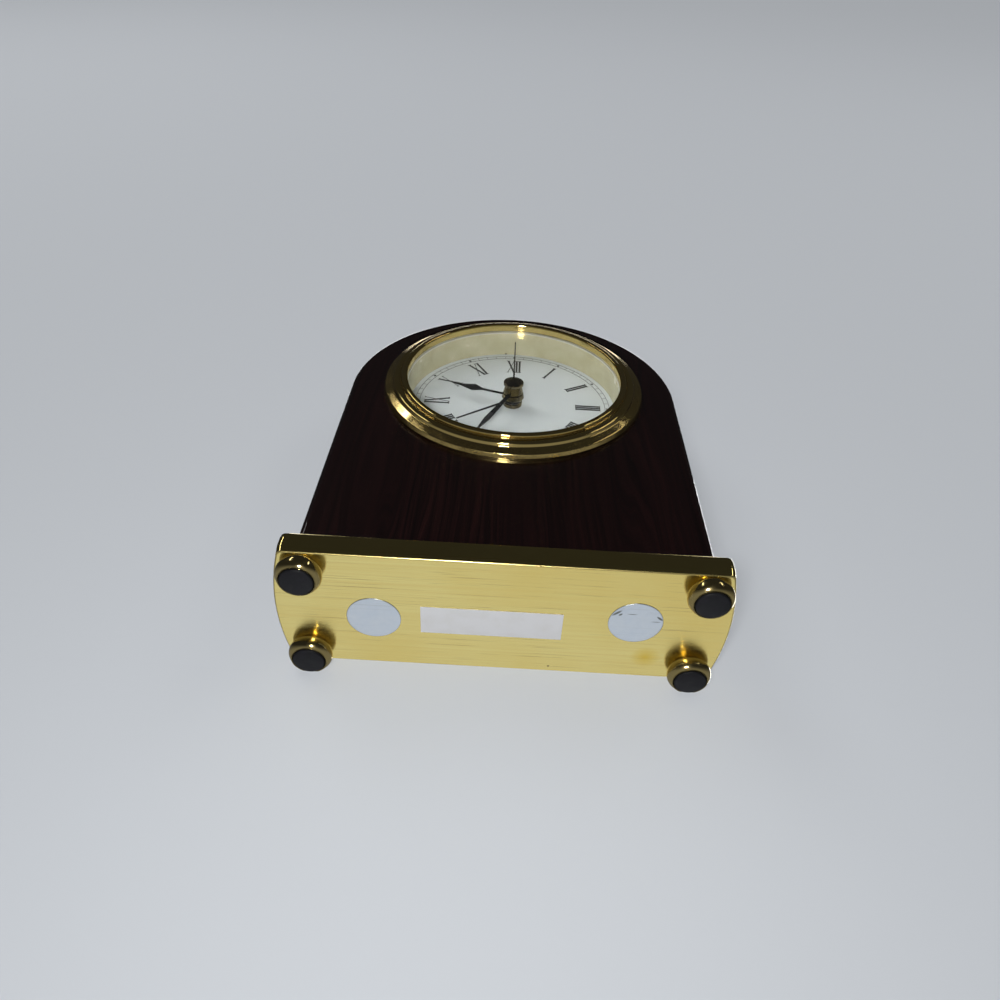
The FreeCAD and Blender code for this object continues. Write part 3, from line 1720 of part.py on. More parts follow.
def make_coil():
    """A winding on a bobbin, on the core strip that bridges the stator's legs."""
    core_front = stator_front - s.core_thickness
    middle = core_front + s.core_thickness / 2
    up = dial_height + s.core_up
    core = block("coil_core", s.stator_left + stator_right, s.core_thickness, s.core_height,
                 -s.stator_left, core_front, up - s.core_height / 2)
    node(core, "coil_core")

    bobbin = new_body("bobbin")
    core_half = s.core_height / 2 + s.thread_gap
    core_half_depth = s.core_thickness / 2 + s.thread_gap
    tube_half = core_half + s.bobbin_wall
    tube_half_depth = core_half_depth + s.bobbin_wall
    flange_half = s.bobbin_flange_height / 2
    flange_half_depth = s.bobbin_flange_depth / 2
    length = bobbin_left + bobbin_right
    for name, half, half_depth, start, run in (
        ("tube", tube_half, tube_half_depth, 0, length),
        ("left", flange_half, flange_half_depth, 0, s.bobbin_flange),
        ("right", flange_half, flange_half_depth, length - s.bobbin_flange, s.bobbin_flange),
    ):
        sketch = new_sketch(bobbin, "bobbin_" + name, "YZ_Plane")
        offset_along_normal(sketch, start)
        add_loop(sketch, rectangle(-half_depth, half_depth, -half, half))
        add_loop(sketch, rectangle(-core_half_depth, core_half_depth, -core_half, core_half))
        pad(bobbin, sketch, "bobbin_" + name + "_pad", run, False)
    place(bobbin, -bobbin_left, middle, up)
    node(bobbin, "bobbin")

    winding_left = s.bobbin_flange + s.thread_gap - bobbin_left
    winding_length = length - s.bobbin_flange * 2 - s.thread_gap * 2
    outer = rod("winding_outer", s.winding_radius, winding_length, winding_left, middle, up, TO_RIGHT)
    room_depth = (tube_half_depth + s.thread_gap) * 2
    room_height = (tube_half + s.thread_gap) * 2
    room = block("winding_room", winding_length + s.overrun * 2, room_depth, room_height,
                 winding_left - s.overrun, middle - room_depth / 2, up - room_height / 2)
    winding = document.addObject("Part::Cut", "coil_winding")
    winding.Base = outer
    winding.Tool = room
    node(winding, "coil_winding")


def make_electronics():
    """Circuit board on the rear plate, with its chip and quartz crystal, and the buzzer."""
    board_front = rear_plate_front - s.board_thickness
    board = block("circuit_board", s.board_width, s.board_thickness, s.board_height,
                  -s.board_left, board_front, dial_height + s.board_low)
    node(board, "circuit_board")
    middle = s.board_width / 2 - s.board_left
    chip = block("chip_cover", s.chip_size, s.chip_height, s.chip_size,
                 middle - s.chip_size / 2, board_front - s.chip_height,
                 dial_height + s.chip_up - s.chip_size / 2)
    node(chip, "chip_cover")
    crystal = rod("quartz_crystal", s.crystal_diameter / 2, s.crystal_length,
                  middle, board_front - s.crystal_diameter / 2, dial_height + s.crystal_up)
    node(crystal, "quartz_crystal")
    buzzer = rod("buzzer", s.buzzer_diameter / 2, s.buzzer_height,
                 -s.buzzer_left, cover_front - s.buzzer_height,
                 dial_height + s.buzzer_up, TO_BACK)
    node(buzzer, "buzzer")


# Insert housing, back cover, battery and controls

def boss_places():
    """Three screw bosses round the housing: two at the sides and one at the bottom."""
    radius = housing_bore - s.boss_diameter / 2 + s.boss_sink
    across = radius * cosine(s.boss_angle)
    up = radius * sine(s.boss_angle)
    return [(across, up), (-across, up), (0, -radius)]


def make_housing():
    """A plastic cup with a flange at the front and a bulkhead that carries the dial."""
    front = -s.flange_thickness
    length = housing_back - case_front
    seat = dial_back - case_front
    hole = s.nose_radius + s.thread_gap
    outline = [
        (front, housing_bore),
        (seat, housing_bore),
        (seat, hole),
        (seat + s.bulkhead_thickness, hole),
        (seat + s.bulkhead_thickness, housing_bore),
        (length, housing_bore),
        (length, housing_radius),
        (0, housing_radius),
        (0, flange_radius),
        (front, flange_radius),
    ]
    body = turned_about_y("insert_housing", outline)
    bosses = new_sketch(body, "housing_bosses", "XZ_Plane")
    offset_to_back(bosses, bulkhead_back - case_front)
    for across, up in boss_places():
        add_circle(bosses, across, up, s.boss_diameter / 2)
    pad(body, bosses, "housing_boss_pad", cover_front - bulkhead_back, True)
    pilots = new_sketch(body, "housing_pilots", "XZ_Plane")
    offset_to_back(pilots, cover_front - case_front)
    for across, up in boss_places():
        add_circle(pilots, across, up, s.back_screw_diameter / 2 + s.thread_gap)
    depth = s.back_screw_length - s.cover_plate_thickness + s.arbor_end_gap
    pocket(body, pilots, "housing_pilot_cut", depth, True)
    place(body, 0, case_front, dial_height)
    node(body, "insert_housing")


def make_grip_ring():
    """A ribbed rubber band that holds the insert in the wooden bore."""
    inner = housing_radius + s.grip_gap
    outer = s.bore_diameter / 2 - s.grip_gap
    root = (inner + outer) / 2
    pitch = (s.grip_ring_width - s.grip_rib_width) / (GRIP_RIBS - 1)
    outline = [(0, inner), (0, outer)]
    for rib in range(1, GRIP_RIBS):
        start = pitch * rib
        groove = start - pitch + s.grip_rib_width
        outline += [(groove, outer), (groove, root), (start, root), (start, outer)]
    outline += [(s.grip_ring_width, outer), (s.grip_ring_width, inner)]
    body = turned_about_y("grip_ring", outline)
    place(body, 0, case_front + s.grip_ring_setback, dial_height)
    node(body, "grip_ring")


def make_back_cover():
    """A round cover with the battery tray, holes for the arbors, the switch slot and sound holes."""
    half = s.tray_half_length
    low = -battery_drop - battery_reach
    high = -battery_drop + battery_reach
    body = new_body("back_cover")
    sketch = new_sketch(body, "back_cover_outline", "XZ_Plane")
    add_circle(sketch, 0, 0, housing_bore - s.cover_gap)
    add_loop(sketch, rectangle(-half, half, low, high))
    for axis in (time_axis, alarm_axis):
        add_circle(sketch, *axis, s.knob_arbor_radius + s.pivot_gap * 2)
    slot_half = (s.switch_stem_length + s.switch_travel) / 2 + s.switch_gap
    slot_side = s.switch_stem_width / 2 + s.switch_gap
    slot = rectangle(-slot_half, slot_half, s.switch_up - slot_side, s.switch_up + slot_side)
    add_loop(sketch, slot)
    for across, up in boss_places():
        add_circle(sketch, across, up, s.back_screw_diameter / 2 + s.screw_clearance)
    for hole in range(SOUND_HOLES):
        angle = 2 * math.pi * hole / SOUND_HOLES
        across = s.sound_hole_circle * math.cos(angle) - s.buzzer_left
        up = s.sound_hole_circle * math.sin(angle) + s.buzzer_up
        add_circle(sketch, across, up, s.sound_hole_diameter / 2)
    pad(body, sketch, "back_cover_pad", s.cover_plate_thickness, True)

    wall = s.tray_wall
    outer_wall = rectangle(-half - wall, half + wall, low - wall, high + wall)
    tray = new_sketch(body, "tray_walls", "XZ_Plane")
    add_loop(tray, outer_wall)
    add_loop(tray, rectangle(-half, half, low, high))
    depth = cover_front - tray_front
    pad(body, tray, "tray_wall_pad", depth, False)
    floor = new_sketch(body, "tray_floor", "XZ_Plane")
    offset_to_back(floor, -depth)
    add_loop(floor, outer_wall)
    pad(body, floor, "tray_floor_pad", wall, False)

    rebate = new_sketch(body, "door_rebate", "XZ_Plane")
    offset_to_back(rebate, s.cover_plate_thickness)
    lip = s.door_lip + s.door_gap
    add_loop(rebate, rectangle(-half, half, low - lip, high + lip))
    pocket(body, rebate, "door_rebate_cut", s.door_thickness, True)
    place(body, 0, cover_front, dial_height)
    node(body, "back_cover")


def make_back_screws():
    screws = []
    for index, (across, up) in enumerate(boss_places(), start=1):
        screw = small_screw(
            f"back_screw_{index}", s.back_screw_diameter, s.back_screw_length,
            s.back_screw_head, s.back_screw_head_height,
        )
        place(screw, across, housing_back, dial_height + up)
        screws.append(screw)
    node(compound("back_screws", screws), "back_screws")


def make_battery():
    """A plain round cell with its nub to the right, and the two leaf contacts at its ends."""
    axis_up = dial_height - battery_drop
    right_end = s.tray_half_length - s.contact_thickness - s.arbor_end_gap
    cell_end = right_end - s.battery_nub_length
    left_end = cell_end - s.battery_length
    cell = new_body("battery")
    for index, (stop, radius) in enumerate((
        (s.battery_length, s.battery_diameter / 2),
        (s.battery_length + s.battery_nub_length, s.battery_nub_diameter / 2),
    )):
        sketch = new_sketch(cell, f"battery_profile_{index}", "XY_Plane")
        add_loop(sketch, [(0, 0), (stop, 0), (stop, radius), (0, radius)])
        revolve(cell, sketch, f"battery_turn_{index}", "H_Axis")
    place(cell, left_end, battery_back, axis_up)
    node(cell, "battery")

    width = s.contact_width
    strip = s.contact_thickness
    plus = block("contact_plus", strip, width, width,
                 s.tray_half_length - strip, battery_back - width / 2, axis_up - width / 2)
    node(plus, "contact_plus")

    minus = new_body("contact_minus")
    sketch = new_sketch(minus, "contact_minus_side", "XZ_Plane")
    half = width / 2
    tongue = left_end + s.tray_half_length - s.arbor_end_gap
    outline = [
        (0, -half),
        (strip, -half),
        (tongue, -strip),
        (tongue, strip),
        (tongue - strip, strip),
        (tongue - strip, s.arbor_end_gap - strip),
        (strip, strip * 2 - half),
        (strip, half),
        (0, half),
    ]
    add_loop(sketch, outline)
    pad(minus, sketch, "contact_minus_pad", width, True)
    place(minus, -s.tray_half_length, battery_back - width / 2, axis_up)
    node(minus, "contact_minus")


def make_battery_door():
    """A flush door with two ribs that hold the cell down and three finger ridges."""
    reach = s.tray_half_length - s.door_gap
    rise = battery_reach + s.door_lip
    body = new_body("battery_door")
    sketch = new_sketch(body, "door_outline", "XZ_Plane")
    add_loop(sketch, rectangle(-reach, reach, -battery_drop - rise, -battery_drop + rise))
    pad(body, sketch, "door_pad", s.door_thickness, True)

    ribs = new_sketch(body, "door_ribs", "XZ_Plane")
    half = s.door_rib_thickness / 2
    run = s.door_rib_length / 2
    for side in (-1, 1):
        middle = s.door_rib_offset * side
        low = -battery_drop - run
        high = -battery_drop + run
        add_loop(ribs, rectangle(middle - half, middle + half, low, high))
    pad(body, ribs, "door_rib_pad", s.door_rib_height, False)

    grips = new_sketch(body, "door_grips", "XZ_Plane")
    half = s.door_grip_width / 2
    run = s.door_grip_length / 2
    for row in (-1, 0, 1):
        middle = s.door_grip_width * 2 * row - battery_drop
        add_loop(grips, rectangle(-run, run, middle - half, middle + half))
    pad(body, grips, "door_grip_pad", s.door_thickness + s.door_grip_height, True)
    place(body, 0, door_front, dial_height)
    node(body, "battery_door")


def make_knob(name, axis):
    """A ridged knob pushed on the end of an arbor."""
    front = housing_back + s.knob_stand_off
    radius = s.knob_diameter / 2
    module = s.knob_diameter / (KNOB_RIDGES + 2 * ADDENDUM_SHARE)
    grip = gear_solid(module, KNOB_RIDGES, 0, front, s.knob_height)
    limit = disc(radius.value, front.value, s.knob_height.value)
    rear_rim = max(limit.Edges, key=lambda edge: edge.BoundBox.YMin)
    limit = limit.makeFillet(s.knob_round.value, [rear_rim])
    hole = tube(
        s.knob_arbor_radius + s.hand_grip_gap,
        front - s.overrun,
        front + s.knob_height / 2 + s.arbor_end_gap,
    )
    wheel_feature(name, axis, [grip.common(limit).cut(hole)])


def make_switch():
    """A sliding button: a flange inside the cover, a stem through the slot and a cap outside."""
    body = new_body("alarm_switch")
    flange_front = -s.switch_flange_thickness - s.switch_gap
    cap_front = s.cover_plate_thickness + s.switch_gap
    stem_length = cap_front - flange_front + s.switch_gap
    for name, length, width, start, run in (
        ("flange", s.switch_flange_length, s.switch_flange_width, flange_front,
         s.switch_flange_thickness),
        ("stem", s.switch_stem_length, s.switch_stem_width, flange_front, stem_length),
        ("cap", s.switch_knob_length, s.switch_knob_width, cap_front, s.switch_knob_height),
    ):
        sketch = new_sketch(body, "switch_" + name, "XZ_Plane")
        offset_to_back(sketch, start)
        add_loop(sketch, rectangle(-length / 2, length / 2, -width / 2, width / 2))
        pad(body, sketch, "switch_" + name + "_pad", run, True)
    place(body, -s.switch_travel / 2, cover_front, dial_height + s.switch_up)
    node(body, "alarm_switch")


make_base_plate()
make_feet()
make_case_screws()
make_stickers()
make_case()
make_bezel()
make_lens()
make_lens_seal()
make_reflector_ring()
make_dial()
make_numerals()
make_minute_track()
make_dial_nut()
make_hands()
make_alarm_wheels()
make_motion_wheels()
make_going_wheels()
make_front_plate()
make_rear_plate()
make_plate_screws()
make_stator()
make_coil()
make_electronics()
make_housing()
make_grip_ring()
make_back_cover()
make_back_screws()
make_battery()
make_battery_door()
make_knob("time_knob", time_axis)
make_knob("alarm_knob", alarm_axis)
make_switch()

document.recompute()

# Checks before anything is written
for item in document.Objects:
    if "Invalid" in item.State or "Error" in item.State:
        raise ValueError(f"{item.Label} failed to build: {item.State}")
for item in nodes:
    if item.Shape.isNull() or not item.Shape.isValid() or not item.Shape.Solids:
        raise ValueError(f"{item.Label} has no valid solid")

os.makedirs("parts", exist_ok=True)
for item in nodes:
    item.Shape.exportStep(os.path.join("parts", item.Label + ".step"))
    print(f"{item.Label}: {len(item.Shape.Solids)} solids, {item.Shape.Volume:.2f} mm3")
print(len(nodes), "pieces")
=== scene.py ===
import json
import math

import bmesh
import bpy
import numpy as np
from mathutils import Euler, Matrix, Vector


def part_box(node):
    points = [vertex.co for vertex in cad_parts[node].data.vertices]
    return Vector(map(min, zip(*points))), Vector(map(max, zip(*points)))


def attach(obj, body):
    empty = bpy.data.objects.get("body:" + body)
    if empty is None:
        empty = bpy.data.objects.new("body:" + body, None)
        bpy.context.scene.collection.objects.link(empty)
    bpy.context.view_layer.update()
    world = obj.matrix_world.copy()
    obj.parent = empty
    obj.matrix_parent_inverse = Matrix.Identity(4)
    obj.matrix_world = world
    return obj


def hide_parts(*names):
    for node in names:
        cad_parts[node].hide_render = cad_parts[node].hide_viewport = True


# The looks of an arch-top desk alarm clock: turned brass, a lacquered wooden case and a quartz insert.
# Metres throughout: X to the right, Y to the back, Z up, and the clock stands on Z = 0.

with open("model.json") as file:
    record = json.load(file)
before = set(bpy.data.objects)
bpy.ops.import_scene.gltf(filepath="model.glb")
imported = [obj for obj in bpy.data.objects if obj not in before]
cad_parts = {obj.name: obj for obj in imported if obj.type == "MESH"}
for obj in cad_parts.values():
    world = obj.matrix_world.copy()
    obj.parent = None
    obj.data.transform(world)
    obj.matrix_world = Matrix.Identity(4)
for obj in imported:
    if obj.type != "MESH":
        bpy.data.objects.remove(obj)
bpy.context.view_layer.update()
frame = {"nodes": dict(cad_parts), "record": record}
MM = 0.001
TURN = 2 * math.pi

BODY_OF = {
    node: body
    for body, members in frame["record"]["behaviour"]["bodies"].items()
    for node in members
}
SLOT_OF = {part["node"]: part["material_slot"] for part in frame["record"]["subparts"]}

# Levels read from the frame
PLATE_LOW, PLATE_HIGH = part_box("base_plate")
CASE_LOW, CASE_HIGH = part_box("case_body")
BEZEL_LOW, BEZEL_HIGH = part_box("bezel")
LENS_LOW, LENS_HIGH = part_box("lens")
RING_LOW, RING_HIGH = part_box("reflector_ring")
HOUSING_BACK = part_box("insert_housing")[1][1]
DIAL_Z = (BEZEL_LOW[2] + BEZEL_HIGH[2]) / 2
CASE_FRONT, CASE_BACK = CASE_LOW[1], CASE_HIGH[1]


# Node materials

class Finish:
    """A procedural material: a chain of nodes that ends in one Principled shader."""

    def __init__(self, name, color, metallic=0.0, roughness=0.5, **more):
        self.material = bpy.data.materials.new(name)
        self.material.use_nodes = True
        self.tree = self.material.node_tree
        self.shader = self.tree.nodes["Principled BSDF"]
        self.shader.inputs["Base Color"].default_value = (*color, 1.0)
        self.shader.inputs["Metallic"].default_value = metallic
        self.shader.inputs["Roughness"].default_value = roughness
        for socket, value in more.items():
            self.shader.inputs[socket.replace("_", " ")].default_value = value
        self.place = self.add("ShaderNodeTexCoord").outputs["Object"]

    def add(self, kind, inputs=None, **settings):
        """A node with its settings; an input is a number, a colour or another node's output."""
        node = self.tree.nodes.new(kind)
        for setting, value in settings.items():
            setattr(node, setting, value)
        for socket, value in (inputs or {}).items():
            if isinstance(value, bpy.types.NodeSocket):
                self.tree.links.new(value, node.inputs[socket])
            else:
                node.inputs[socket].default_value = value
        return node

    def scaled(self, scale, shift=(0, 0, 0)):
        """Object coordinates stretched by a number per axis."""
        inputs = {"Vector": self.place, "Scale": scale, "Location": shift}
        return self.add("ShaderNodeMapping", inputs).outputs["Vector"]

    def noise(self, scale, detail=4.0, rough=0.5, stretch=None, shift=(0, 0, 0)):
        """Noise whose scale is in features per metre, stretched by a number per axis."""
        vector = self.scaled(stretch or (1, 1, 1), shift)
        inputs = {"Vector": vector, "Scale": scale, "Detail": detail, "Roughness": rough}
        return self.add("ShaderNodeTexNoise", inputs).outputs["Fac"]

    def ramp(self, value, low, high, dark=0.0, light=1.0):
        """A value mapped from low..high to dark..light, and clamped."""
        inputs = {"Value": value, "From Min": low, "From Max": high, "To Min": dark, "To Max": light}
        return self.add("ShaderNodeMapRange", inputs).outputs["Result"]

    def math(self, operation, first, second=0.0):
        """One step of arithmetic."""
        return self.add("ShaderNodeMath", {0: first, 1: second}, operation=operation).outputs[0]

    def mix(self, share, first, second):
        """A blend of two colours."""
        node = self.add("ShaderNodeMix", data_type="RGBA")
        for index, value in ((0, share), (6, first), (7, second)):
            if isinstance(value, bpy.types.NodeSocket):
                self.tree.links.new(value, node.inputs[index])
            elif index:
                node.inputs[index].default_value = (*value, 1.0)
            else:
                node.inputs[index].default_value = value
        return node.outputs[2]

    def distance(self, centre):
        """How far a point lies from a line or a point: a centre coordinate of None is free."""
        parts = self.add("ShaderNodeSeparateXYZ", {0: self.place}).outputs
        total = None
        for axis, middle in enumerate(centre):
            if middle is None:
                continue
            offset = self.math("SUBTRACT", parts[axis], middle)
            square = self.math("MULTIPLY", offset, offset)
            total = square if total is None else self.math("ADD", total, square)
        return self.math("SQRT", total)

    def link(self, socket, output):
        """A node's output drives one of the shader's sockets."""
        self.tree.links.new(output, self.shader.inputs[socket])

    def bump(self, height, depth, strength=1.0, socket="Normal"):
        """Relief from a 0..1 height whose full depth is in metres."""
        inputs = {"Height": height, "Distance": depth, "Strength": strength}
        self.link(socket, self.add("ShaderNodeBump", inputs).outputs["Normal"])


BRASS = (0.76, 0.61, 0.22)
DEEP_BRASS = (0.64, 0.50, 0.18)
WARM_BRASS = (0.75, 0.56, 0.21)
PALE_BRASS = (0.83, 0.72, 0.29)

# A stain and a speck under the plate, marks of age, and a dark spot in the cream funnel
STAIN_PLACE = (41.6 * MM, 12.1 * MM, None)
SPECK_PLACE = (14.2 * MM, 18.4 * MM, None)
FUNNEL_DARK_SPOT = (-3.5 * MM, -7.8 * MM, 143.6 * MM)


def brushed_brass():
    """Lacquered brass brushed along X: fine lines, a few long deep ones, a stain and a speck."""
    finish = Finish("brushed_brass", BRASS, 1.0, 0.2, Anisotropic=0.75)
    fine = finish.noise(1.0, 5.0, 0.6, stretch=(14, 4200, 14))
    broad = finish.noise(1.0, 3.0, 0.5, stretch=(7, 900, 7), shift=(3, 1, 0))
    deep = finish.noise(1.0, 3.0, 0.55, stretch=(34, 2500, 34), shift=(8, 5, 2))
    cloud = finish.noise(28.0, 3.0)
    lines = finish.math("ADD", finish.math("MULTIPLY", fine, 0.6), finish.math("MULTIPLY", broad, 0.4))
    color = finish.mix(finish.ramp(lines, 0.38, 0.62, 0.05, 0.8), BRASS, PALE_BRASS)
    color = finish.mix(finish.ramp(cloud, 0.42, 0.72, 0.0, 0.55), color, (0.74, 0.56, 0.16))
    scratch = finish.ramp(deep, 0.62, 0.70, 0.0, 0.65)
    color = finish.mix(scratch, color, (0.40, 0.31, 0.12))
    stain = finish.ramp(finish.distance(STAIN_PLACE), 0.0, 4.5 * MM, 0.75, 0.0)
    color = finish.mix(stain, color, (0.70, 0.47, 0.03))
    dark_spot = finish.ramp(finish.distance(SPECK_PLACE), 0.2 * MM, 0.4 * MM, 0.9, 0.0)
    color = finish.mix(dark_spot, color, (0.06, 0.04, 0.02))
    finish.link("Base Color", color)
    finish.link("Roughness", finish.ramp(lines, 0.3, 0.7, 0.16, 0.26))
    finish.bump(lines, 0.0055 * MM)
    tangent = finish.add("ShaderNodeTangent", direction_type="UV_MAP", uv_map="brush")
    finish.link("Tangent", tangent.outputs["Tangent"])
    return finish.material


def polished_brass(name, color, wear, dull=1.0):
    """Mirror-bright lacquered brass with faint haze and pin-prick pits.

    Wear is the strength of the pits, and dull multiplies the roughness.
    """
    finish = Finish(name, color, 1.0, 0.07)
    haze = finish.noise(160.0, 5.0, 0.6)
    pits = finish.noise(2600.0, 2.0, 0.5)
    tint = finish.mix(finish.ramp(haze, 0.35, 0.75, 0.0, 0.5), color, DEEP_BRASS)
    finish.link("Base Color", tint)
    finish.link("Roughness", finish.ramp(haze, 0.35, 0.8, 0.045 * dull, 0.13 * dull))
    finish.bump(finish.ramp(pits, 0.62, 0.8, 1.0, 0.0), 0.004 * MM, wear)
    return finish.material


def plate_edge_brass():
    """Polished brass round the plate's wall and top, rubbed satin along the lower edge."""
    finish = Finish("plate_edge_brass", BRASS, 1.0, 0.08)
    haze = finish.noise(160.0, 5.0, 0.6)
    chips = finish.noise(900.0, 3.0, 0.6)
    level = finish.add("ShaderNodeSeparateXYZ", {0: finish.place}).outputs[2]
    rubbed = finish.ramp(level, PLATE_LOW[2] + 0.2 * MM, PLATE_LOW[2] + 0.75 * MM, 1.0, 0.0)
    finish.link("Base Color", finish.mix(finish.ramp(haze, 0.35, 0.75, 0.0, 0.5), BRASS, DEEP_BRASS))
    finish.link("Roughness", finish.math("ADD", finish.ramp(haze, 0.35, 0.8, 0.05, 0.12),
                                         finish.math("MULTIPLY", rubbed, 0.22)))
    finish.bump(finish.math("MULTIPLY", rubbed, chips), 0.02 * MM, 0.6)
    return finish.material


def bezel_brass():
    """Turned brass: bright rolls, and a pitted, sparkling zone round the outer step."""
    finish = Finish("bezel_brass", WARM_BRASS, 1.0, 0.08)
    radius = finish.distance((0.0, None, DIAL_Z))
    outer = finish.ramp(radius, 43.2 * MM, 44.4 * MM)
    haze = finish.noise(220.0, 5.0, 0.6)
    grit = finish.noise(3200.0, 3.0, 0.6)
    patches = finish.noise(120.0, 3.0, 0.6)
    worn = finish.math("MULTIPLY", outer, finish.ramp(patches, 0.38, 0.6))
    tint = finish.mix(finish.ramp(haze, 0.35, 0.75, 0.0, 0.5), WARM_BRASS, DEEP_BRASS)
    dirt = finish.math("MULTIPLY", worn, finish.ramp(grit, 0.5, 0.62))
    finish.link("Base Color", finish.mix(dirt, tint, (0.20, 0.12, 0.04)))
    finish.link("Roughness", finish.math("ADD", finish.ramp(haze, 0.3, 0.8, 0.05, 0.12),
                                         finish.math("MULTIPLY", worn, 0.12)))
    inputs = {"Vector": finish.scaled((0, 1, 0)), "Scale": 2600.0}
    turned = finish.add("ShaderNodeTexWave", inputs, bands_direction="Y").outputs["Fac"]
    pitted = finish.math("MULTIPLY", worn, grit)
    finish.bump(finish.math("ADD", finish.math("MULTIPLY", turned, 0.05), pitted), 0.03 * MM, 0.6)
    return finish.material


def lacquered_wood():
    """Very dark red-brown wood with a straight grain, deep under a clear high-gloss lacquer."""
    finish = Finish("lacquered_wood", (0.008, 0.0025, 0.0022), 0.0, 0.35, Coat_Weight=1.0,
                    Coat_Roughness=0.025, Specular_IOR_Level=0.08)
    flow = finish.noise(14.0, 3.0, 0.5, stretch=(3.0, 3.0, 0.3))
    sway = finish.add("ShaderNodeCombineXYZ", {0: finish.math("MULTIPLY", flow, 34.0)}).outputs[0]
    inputs = {0: finish.scaled((1100, 1100, 11)), 1: sway}
    bent = finish.add("ShaderNodeVectorMath", inputs, operation="ADD").outputs[0]
    inputs = {"Vector": bent, "Scale": 1.0, "Detail": 5.0, "Roughness": 0.6}
    grain = finish.add("ShaderNodeTexNoise", inputs).outputs["Fac"]
    figure = finish.noise(30.0, 3.0, 0.5, stretch=(1.5, 1.5, 0.25))
    shade = finish.ramp(grain, 0.35, 0.7)
    color = finish.mix(shade, (0.0036, 0.0012, 0.0013), (0.0150, 0.0036, 0.0034))
    color = finish.mix(finish.ramp(figure, 0.4, 0.7, 0.0, 0.5), color, (0.0045, 0.0014, 0.0014))
    finish.link("Base Color", color)
    finish.link("Roughness", finish.ramp(grain, 0.3, 0.7, 0.3, 0.45))
    ripple = finish.noise(90.0, 2.0, 0.4)
    finish.bump(ripple, 0.02 * MM, 0.25, "Coat Normal")
    return finish.material


def rubber():
    """Black moulded rubber, dusty on its worn face."""
    finish = Finish("pad_rubber", (0.010, 0.010, 0.012), 0.0, 0.5, Specular_IOR_Level=0.22)
    grain = finish.noise(2400.0, 3.0)
    dust = finish.noise(420.0, 4.0, 0.6)
    finish.link("Base Color", finish.mix(finish.ramp(dust, 0.5, 0.75, 0.0, 0.7),
                                         (0.008, 0.008, 0.010), (0.022, 0.021, 0.027)))
    finish.link("Roughness", finish.ramp(dust, 0.3, 0.7, 0.42, 0.7))
    finish.bump(grain, 0.03 * MM, 0.6)
    return finish.material


# Dark painted shade along the creases of the right disc: place, half-length and half-width as shares of
# its radius, then degrees
CREASE_SHADES = (
    (-0.74, -0.48, 0.23, 0.055, -40.0),
    (-0.60, -0.41, 0.09, 0.045, -40.0),
    (0.84, -0.30, 0.17, 0.050, 38.0),
    (-0.17, -0.45, 0.20, 0.018, 0.0),
    (0.72, -0.12, 0.20, 0.018, 0.0),
)


def foil():
    """Satin silver foil that shows the brush lines below and a few pressed creases, darkened with painted
    shade.
    """
    finish = Finish("satin_foil", (0.62, 0.67, 0.74), 1.0, 0.3)
    low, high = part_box("screw_cover_right")
    middle = (low + high) / 2
    radius = (high[0] - low[0]) / 2
    lines = finish.noise(1.0, 4.0, 0.6, stretch=(18, 2400, 18), shift=(2, 7, 0))
    mottle = finish.noise(260.0, 4.0, 0.6)
    color = finish.mix(finish.ramp(mottle, 0.3, 0.7), (0.60, 0.66, 0.73), (0.70, 0.75, 0.80))
    color = finish.mix(finish.ramp(lines, 0.60, 0.70, 0.0, 0.35), color, (0.42, 0.44, 0.42))
    for across, along, length, width, degrees in CREASE_SHADES:
        place = (middle[0] + across * radius, middle[1] + along * radius, 0.0)
        mapping = finish.add("ShaderNodeMapping", {
            "Vector": finish.place, "Location": place, "Rotation": (0, 0, math.radians(degrees)),
            "Scale": (length * radius, width * radius, 1.0)}, vector_type="TEXTURE")
        reach = finish.add("ShaderNodeVectorMath", {0: mapping.outputs[0]}, operation="LENGTH")
        # Painted shade: each crease is darkened where the foil folds.
        crease_shade = finish.ramp(reach.outputs["Value"], 0.55, 1.1, 0.85, 0.0)
        color = finish.mix(crease_shade, color, (0.07, 0.07, 0.05))
    finish.link("Base Color", color)
    finish.link("Roughness", finish.ramp(mottle, 0.3, 0.7, 0.28, 0.42))
    finish.bump(lines, 0.004 * MM, 0.7)
    return finish.material


def label_film():
    """A bare self-adhesive label: satin white film with a little grime in patches."""
    finish = Finish("label_film", (0.68, 0.68, 0.68), 0.0, 0.38)
    fibre = finish.noise(1500.0, 3.0)
    grime = finish.noise(180.0, 4.0, 0.6)
    finish.link("Base Color", finish.mix(finish.ramp(grime, 0.45, 0.75, 0.0, 0.5),
                                         (0.75, 0.75, 0.76), (0.66, 0.65, 0.62)))
    finish.link("Roughness", finish.ramp(grime, 0.3, 0.7, 0.3, 0.48))
    finish.bump(fibre, 0.006 * MM, 0.5)
    return finish.material


def steel(name="zinc_steel", color=(0.60, 0.60, 0.62), roughness=0.3):
    """Plated steel with fine turning marks and clouding."""
    finish = Finish(name, color, 1.0, roughness)
    cloud = finish.noise(300.0, 4.0, 0.6)
    marks = finish.noise(3500.0, 2.0)
    darker = tuple(0.8 * part for part in color)
    finish.link("Base Color", finish.mix(finish.ramp(cloud, 0.35, 0.7), darker, color))
    finish.link("Roughness", finish.ramp(cloud, 0.3, 0.7, roughness * 0.75, roughness * 1.25))
    finish.bump(marks, 0.004 * MM, 0.5)
    return finish.material


